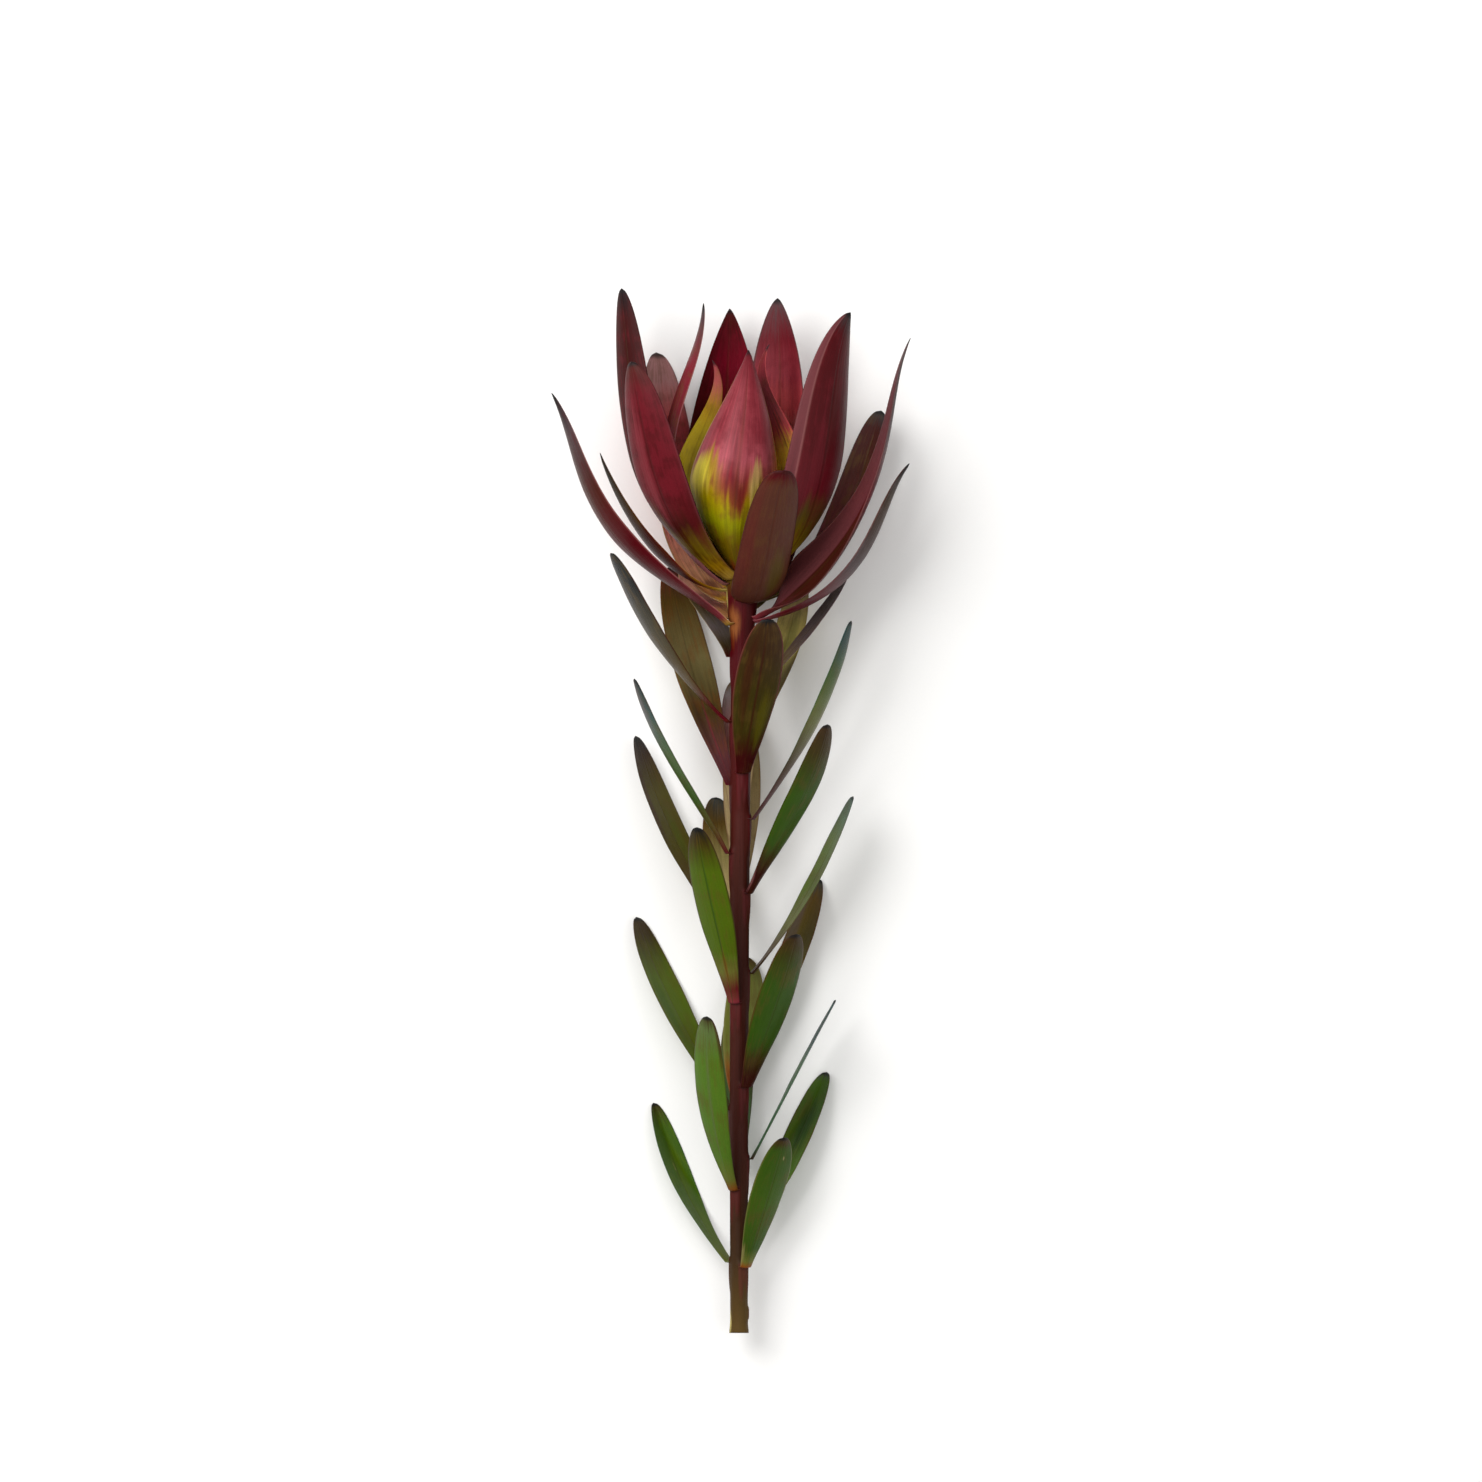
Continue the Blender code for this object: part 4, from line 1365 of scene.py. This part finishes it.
# The palest tones in the rows of bract_low_back, bract_under_left, bract_back_left, bract_tall_right and the
# three bud bracts, and the pale foot of bract_low_left, are painted light: lighter than the plant's own, where
# these bracts lie in the head's shade.
BRACTS: tuple[tuple[Any, ...], ...] = (
    ("bract_low_left", 248, ((-24.1, -2, 262.2), (-44.3, -4, 280.8), (-56.4, -5, 304.3), (-65.6, -6, 329)),
     15.2, 26, -23, Skin("0 HONEY 4 ROSE 12 CRIMSON 45 WINE 65 PLUM_BROWN 85 GREY_PLUM 100 INK",
     margin=T.PALE_ROSE, margin_share=0.5, mottle=T.WINE,
     marks=(Touch(0.13, -0.8, 0.1, 0.3, T.BLUSH, 0.8, 0.02),)), Outline.HILT),
    ("bract_low_right", 249, ((25.2, -2, 255.4), (41, -4, 268.1), (50.7, -4, 286), (59.6, -4, 304.3)), 14.3, 24,
     -8, Skin("0 ROSE 15 CRIMSON 30 DUSK_ROSE 50 GREY_PLUM 80 UMBER 100 INK", margin=T.PALE_ROSE,
     mottle=T.GREY_MAUVE), Outline.OAR),
    ("bract_low_back", 250, ((-9, 15, 255.6), (-15.5, 26, 261), (-20.5, 34.5, 268)), 15, 20, 0,
     Skin("0 APRICOT 15 APRICOT 35 SHELL 60 CLAY 100 BLUSH", margin=T.SAND, margin_share=0.8,
     mottle=T.DUSK_ROSE, mottle_share=0.5, veins=0.4, marks=(Touch(0.3, 0.2, 0.14, 0.5, T.ROSE, 0.6, 0.03),
     Touch(0.5, -0.7, 0.2, 0.3, T.SAND, 0.7, 0.03))), Outline.LANCE),
    # bract_long_right: the dark line along its crease is a painted shadow
    ("bract_long_right", 249.9, ((29, -4, 267.4), (46, -4, 293.8), (53.6, -1, 322), (60.0, 2, 348.2)), 25.6, 40,
     24, Skin("0 ROSE 15 PLUM_BROWN 35 PLUM_BROWN 50 CRIMSON 70 GREY_PLUM 100 SLATE", margin=T.PALE_ROSE,
     mottle=T.PLUM_BROWN), Outline.SICKLE, Fold(0.12, 14, T.DUSK_ROSE, T.MAROON, 0.8, 0.5), 0.2, 14),
    ("bract_under_right", 253, ((11, 18, 263), (18.3, 31, 281), (27.5, 41.5, 303)), 11.5, 24, 0,
     Skin("0 OCHRE 10 OLIVE 30 PLUM_BROWN 90 CHOCOLATE 100 INK", mottle=T.WINE), Outline.BROAD),
    ("bract_front", 256, ((7.4, -17, 262.5), (11.3, -31, 281), (15.7, -42, 302)), 19.6, 22, 0,
     Skin("0 WINE 10 PUCE 90 PUCE 96 WINE 100 MAROON", margin=T.MAROON, rib=T.CHOCOLATE, tip=T.MAROON,
     mottle_share=0.22, marks=(Touch(0.35, 0.5, 0.25, 0.4, T.OLIVE, 0.45),
     Touch(0.5, -0.75, 0.6, 0.35, T.CRIMSON, 0.3))), Outline.PADDLE),
    ("bract_under_left", 255, ((-13, 18, 264.9), (-20.7, 31, 283.4), (-25.2, 41, 310)), 21, 24, 0,
     Skin("0 APRICOT 20 APRICOT 35 CLAY 60 SHELL 100 SHELL", margin=T.SAND, margin_share=0.9,
     mottle=T.PALE_ROSE, mottle_share=0.5, veins=0.4,
     marks=(Touch(0.07, 0.0, 0.07, 0.9, T.GLOW_GOLD, 0.9, 0.02),
     Touch(0.24, 0.0, 0.08, 0.6, T.DUSK_ROSE, 0.7, 0.03))), Outline.STRAP),
    ("bract_back_right", 256, ((28.6, 16, 270.8), (41.8, 24, 296.8), (49.8, 28, 322.8)), 14.4, 20, 28,
     Skin("0 OLIVE 25 PLUM_BROWN 45 DUSK_ROSE 70 PLUM_BROWN 90 CHOCOLATE 100 SLATE", margin=T.GREY_MAUVE)),
    ("bract_under_middle", 258, ((1, 21, 272.5), (2, 35, 301), (3, 43, 336)), 17, 26, 0,
     Skin("0 OLIVE 30 WINE 90 WINE 100 INK"), Outline.BROAD),
    ("bract_narrow_left", 260, ((-22.9, 2, 267.7), (-38.2, 2, 285.6), (-48.6, 3, 308)), 10.8, 18, -22,
     Skin("0 CREAM 7 AMBER 13 RUST 20 CRIMSON 45 WINE 75 UMBER 100 INK", margin=T.RUST,
     marks=(Touch(0.12, 0.9, 0.2, 0.35, T.OCHRE),)), Outline.LANCE),
    ("bract_back_left", 261, ((-18, 19, 281), (-26, 27, 311), (-29, 32, 343.2)), 24, 20, 0,
     Skin("0 GLOW_GOLD 25 GLOW_GOLD 40 GLOW_ROSE 75 GLOW_ROSE 90 BLUSH 100 BLUSH", margin=T.GREY_MAUVE)),
    ("bract_tall_left", 262, ((-27.7, 4, 290), (-37.2, 8, 328.5), (-41.1, 9, 365.6)), 15.1, 20, -60,
     Skin("0 PALE_ROSE 15 DUSK_ROSE 30 BLOOD 60 MAROON 90 MAROON 100 INK", margin=T.MAROON, mottle=T.CRIMSON),
     Outline.SLEEVE),
    ("bract_front_left", 264, ((-23.5, -17, 286), (-32.6, -24, 313), (-37.8, -25, 340)), 21.3, 34, -20,
     Skin("0 HONEY 6 OCHRE 14 GOLD_OLIVE 28 CHOCOLATE 42 CRIMSON 85 CRIMSON 100 PLUM_BROWN", margin=T.DUSK_ROSE,
     rib=T.MAROON, rib_share=0.6, mottle=T.MAROON, mottle_share=0.5,
     marks=(Touch(0.22, -0.5, 0.16, 0.35, T.GOLD_OLIVE, 0.7, 0.2), Touch(0.3, 0.75, 0.25, 0.3, T.WINE, 0.6),
     Touch(0.6, -0.3, 0.25, 0.3, T.ROSE, 0.35, 0.2))), Outline.STRAP),
    ("bract_curled_left", 264.5, ((-19.5, 13.5, 285), (-25.8, 17, 308), (-19.7, 17, 333), (-12.4, 15, 360.4)),
     13, 24, -50, Skin("0 CRIMSON 50 CRIMSON 80 CARMINE 100 SLATE", margin=T.PALE_ROSE, margin_share=0.7),
     Outline.TALL),
    ("bract_broad_right", 264.5, ((26, -12, 290.4), (32.3, -16, 325), (39, -12, 357.2)), 29.6, 34, -18,
     Skin("0 GOLD_OLIVE 10 GOLD 20 GOLD_OLIVE 28 BRONZE 36 CRIMSON 55 WINE 90 WINE 100 SLATE",
     margin=T.DUSK_ROSE, rib=T.MAROON, rib_share=0.5, mottle=T.CRIMSON,
     marks=(Touch(0.4, -0.25, 0.2, 0.35, T.CRIMSON, 0.6, 0.2),
     Touch(0.55, 0.1, 0.3, 0.25, T.BLOOD, 0.45, 0.2))), Outline.SAIL,
     Fold(-0.72, 14, T.DUSK_ROSE, T.PALE_ROSE, 0.8, 0.4)),
    ("bract_tall_right", 265, ((12.2, 17.5, 292.5), (14.6, 19, 328), (13.5, 19.5, 362.2)), 25.6, 30, 0,
     Skin("0 OLIVE 35 SHELL 50 SHELL 62 GLOW_ROSE 73 ROSE 85 CRIMSON 100 GREY_PLUM", margin=T.GREY_PLUM,
     margin_share=0.6, mottle=T.CRIMSON, marks=(Touch(0.6, -0.6, 0.3, 0.4, T.CRIMSON, 0.6),)), Outline.TALL),
    ("bract_tall_back", 265, ((-4.2, 24.5, 293), (-4.3, 29, 328), (-3.3, 25, 358.5)), 33, 28, 0,
     Skin("0 BLOOD 60 BLOOD 78 CARMINE 92 WINE 100 PLUM_BROWN", margin=T.WINE, mottle=T.CARMINE,
     marks=(Touch(0.6, 0.9, 0.4, 0.5, T.BLOOD, 0.6),)), Outline.SPEAR),
    ("bract_bud_right", 266, ((12.4, 3.2, 280), (18.8, 5.4, 300), (12.4, 6.5, 322), (10.6, 5, 346)), 24.5, 14,
     17, Skin("0 GLOW_GOLD 60 GLOW_GOLD 69 GLOW_ROSE 76 BRIGHT_ROSE 88 ROSE 100 CARMINE", margin=T.GLOW_ROSE,
     margin_share=0.9), Outline.WRAP),
    ("bract_bud_left", 266, ((-14.5, 3, 283), (-17.6, 5, 301), (-10.8, 5, 320), (-9.3, 4, 340.4)), 13, 20, -75,
     Skin("0 GLOW_GOLD 30 PALE_LIME 50 GOLD 70 GOLD 80 OCHRE 90 CORAL 100 ROSE", margin=T.GOLD,
     mottle=T.GOLD_OLIVE), Outline.WRAP),
    ("bract_bud_front", 266.5, ((-1.6, -15.6, 290), (1.2, -14.4, 316), (3.3, -3, 344)), 42, 77, -14,
     Skin("0 RUST 5 GOLD_OLIVE 14 GOLD_OLIVE 24 CITRON 36 GOLD 46 CORAL 54 BRIGHT_ROSE 66 ROSE 84 ROSE "
     "100 CRIMSON", margin=T.CREAM, margin_share=0.5, mottle=T.CRIMSON, veins=0.32,
     marks=(Touch(0.46, -0.5, 0.12, 0.3, T.GOLD, 0.7, 0.09),
     Touch(0.42, -0.72, 0.13, 0.34, T.PALE_LIME, 0.85, 0.07),
     Touch(0.4, 0.0, 0.13, 0.44, T.CARMINE, 0.85, 0.08), Touch(0.41, 0.33, 0.12, 0.16, T.CREAM, 0.5, 0.1),
     Touch(0.5, 0.0, 0.14, 0.3, T.CRIMSON, 0.5, 0.2), Touch(0.2, 0.3, 0.15, 0.4, T.GOLD_OLIVE, 0.6, 0.2))),
     Outline.BULB, None, 0.5, 0.0, 72, 90),
)
BARK = Bark(
    "0 BRONZE 10 UMBER 25 PLUM_BROWN 60 PLUM_BROWN 85 WINE 96 WINE 100 OLIVE",
    (Touch(0.927, -0.22, 0.028, 0.26, T.TAN, 0.62, 0.01), Touch(0.905, -0.3, 0.018, 0.12, T.RUST, 0.3, 0.01),
     Touch(0.96, -0.42, 0.02, 0.06, T.CREAM, 0.8, 0.02), Touch(0.92, 0.25, 0.09, 0.35, T.MAROON, 0.7),
     Touch(0.928, -0.47, 0.02, 0.04, T.CREAM, 0.7, 0.02), Touch(0.012, -0.4, 0.016, 0.14, T.CREAM, 0.9)),
)


def leaves() -> list[Blade]:
    """The stem's leaves, numbered from the cut upwards."""
    return [Blade(f"leaf_{k:02d}", *row) for k, row in enumerate(LEAVES, 1)]


def bracts() -> list[Blade]:
    """The head's bracts, from the lowest up."""
    return [Blade(*row) for row in BRACTS]


def stem_origin() -> Vector:
    """The middle of the stem's cut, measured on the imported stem.

    Returns:
        The point, in metres.
    """
    points = [vertex.co for vertex in bpy.data.objects["stem"].data.vertices]
    lowest = min(point.y for point in points)
    cut = [point for point in points if point.y < lowest + 0.01 * MM]
    return sum(cut, Vector((0.0, 0.0, 0.0))) / len(cut)


def dress(piece: bpy.types.Object, node: str) -> None:
    """Lets a finished piece ride on the body in place of its solid.

    Args:
        piece: the piece.
        node: the solid that it stands for.
    """
    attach(piece, BODY)
    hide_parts(node)


def main() -> None:
    """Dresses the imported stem, lays out the table and reports each piece."""
    logging.basicConfig(level=logging.INFO, format="%(name)s: %(message)s")
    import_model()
    origin = stem_origin()
    foliage = leaves()
    stem = Stem(origin, BARK, foliage)
    twig = TwigRecipe()
    dress(stem.build(twig), "stem")
    for piece in Bud(stem).build(twig, ScaleRecipe()):
        dress(piece, "bud")
    blades = Foliage(stem, foliage + bracts())
    for blade, piece in zip(blades.blades, blades.build(BladeRecipe())):
        if blade.name.startswith("bract"):
            slot = "bract_skin"
        else:
            slot = "leaf_green" if blade.node < FIRST_BRONZE_NODE else "leaf_bronze"
        dress(piece, blade.name)
    Studio(origin).build()


if __name__ == "__main__":
    main()
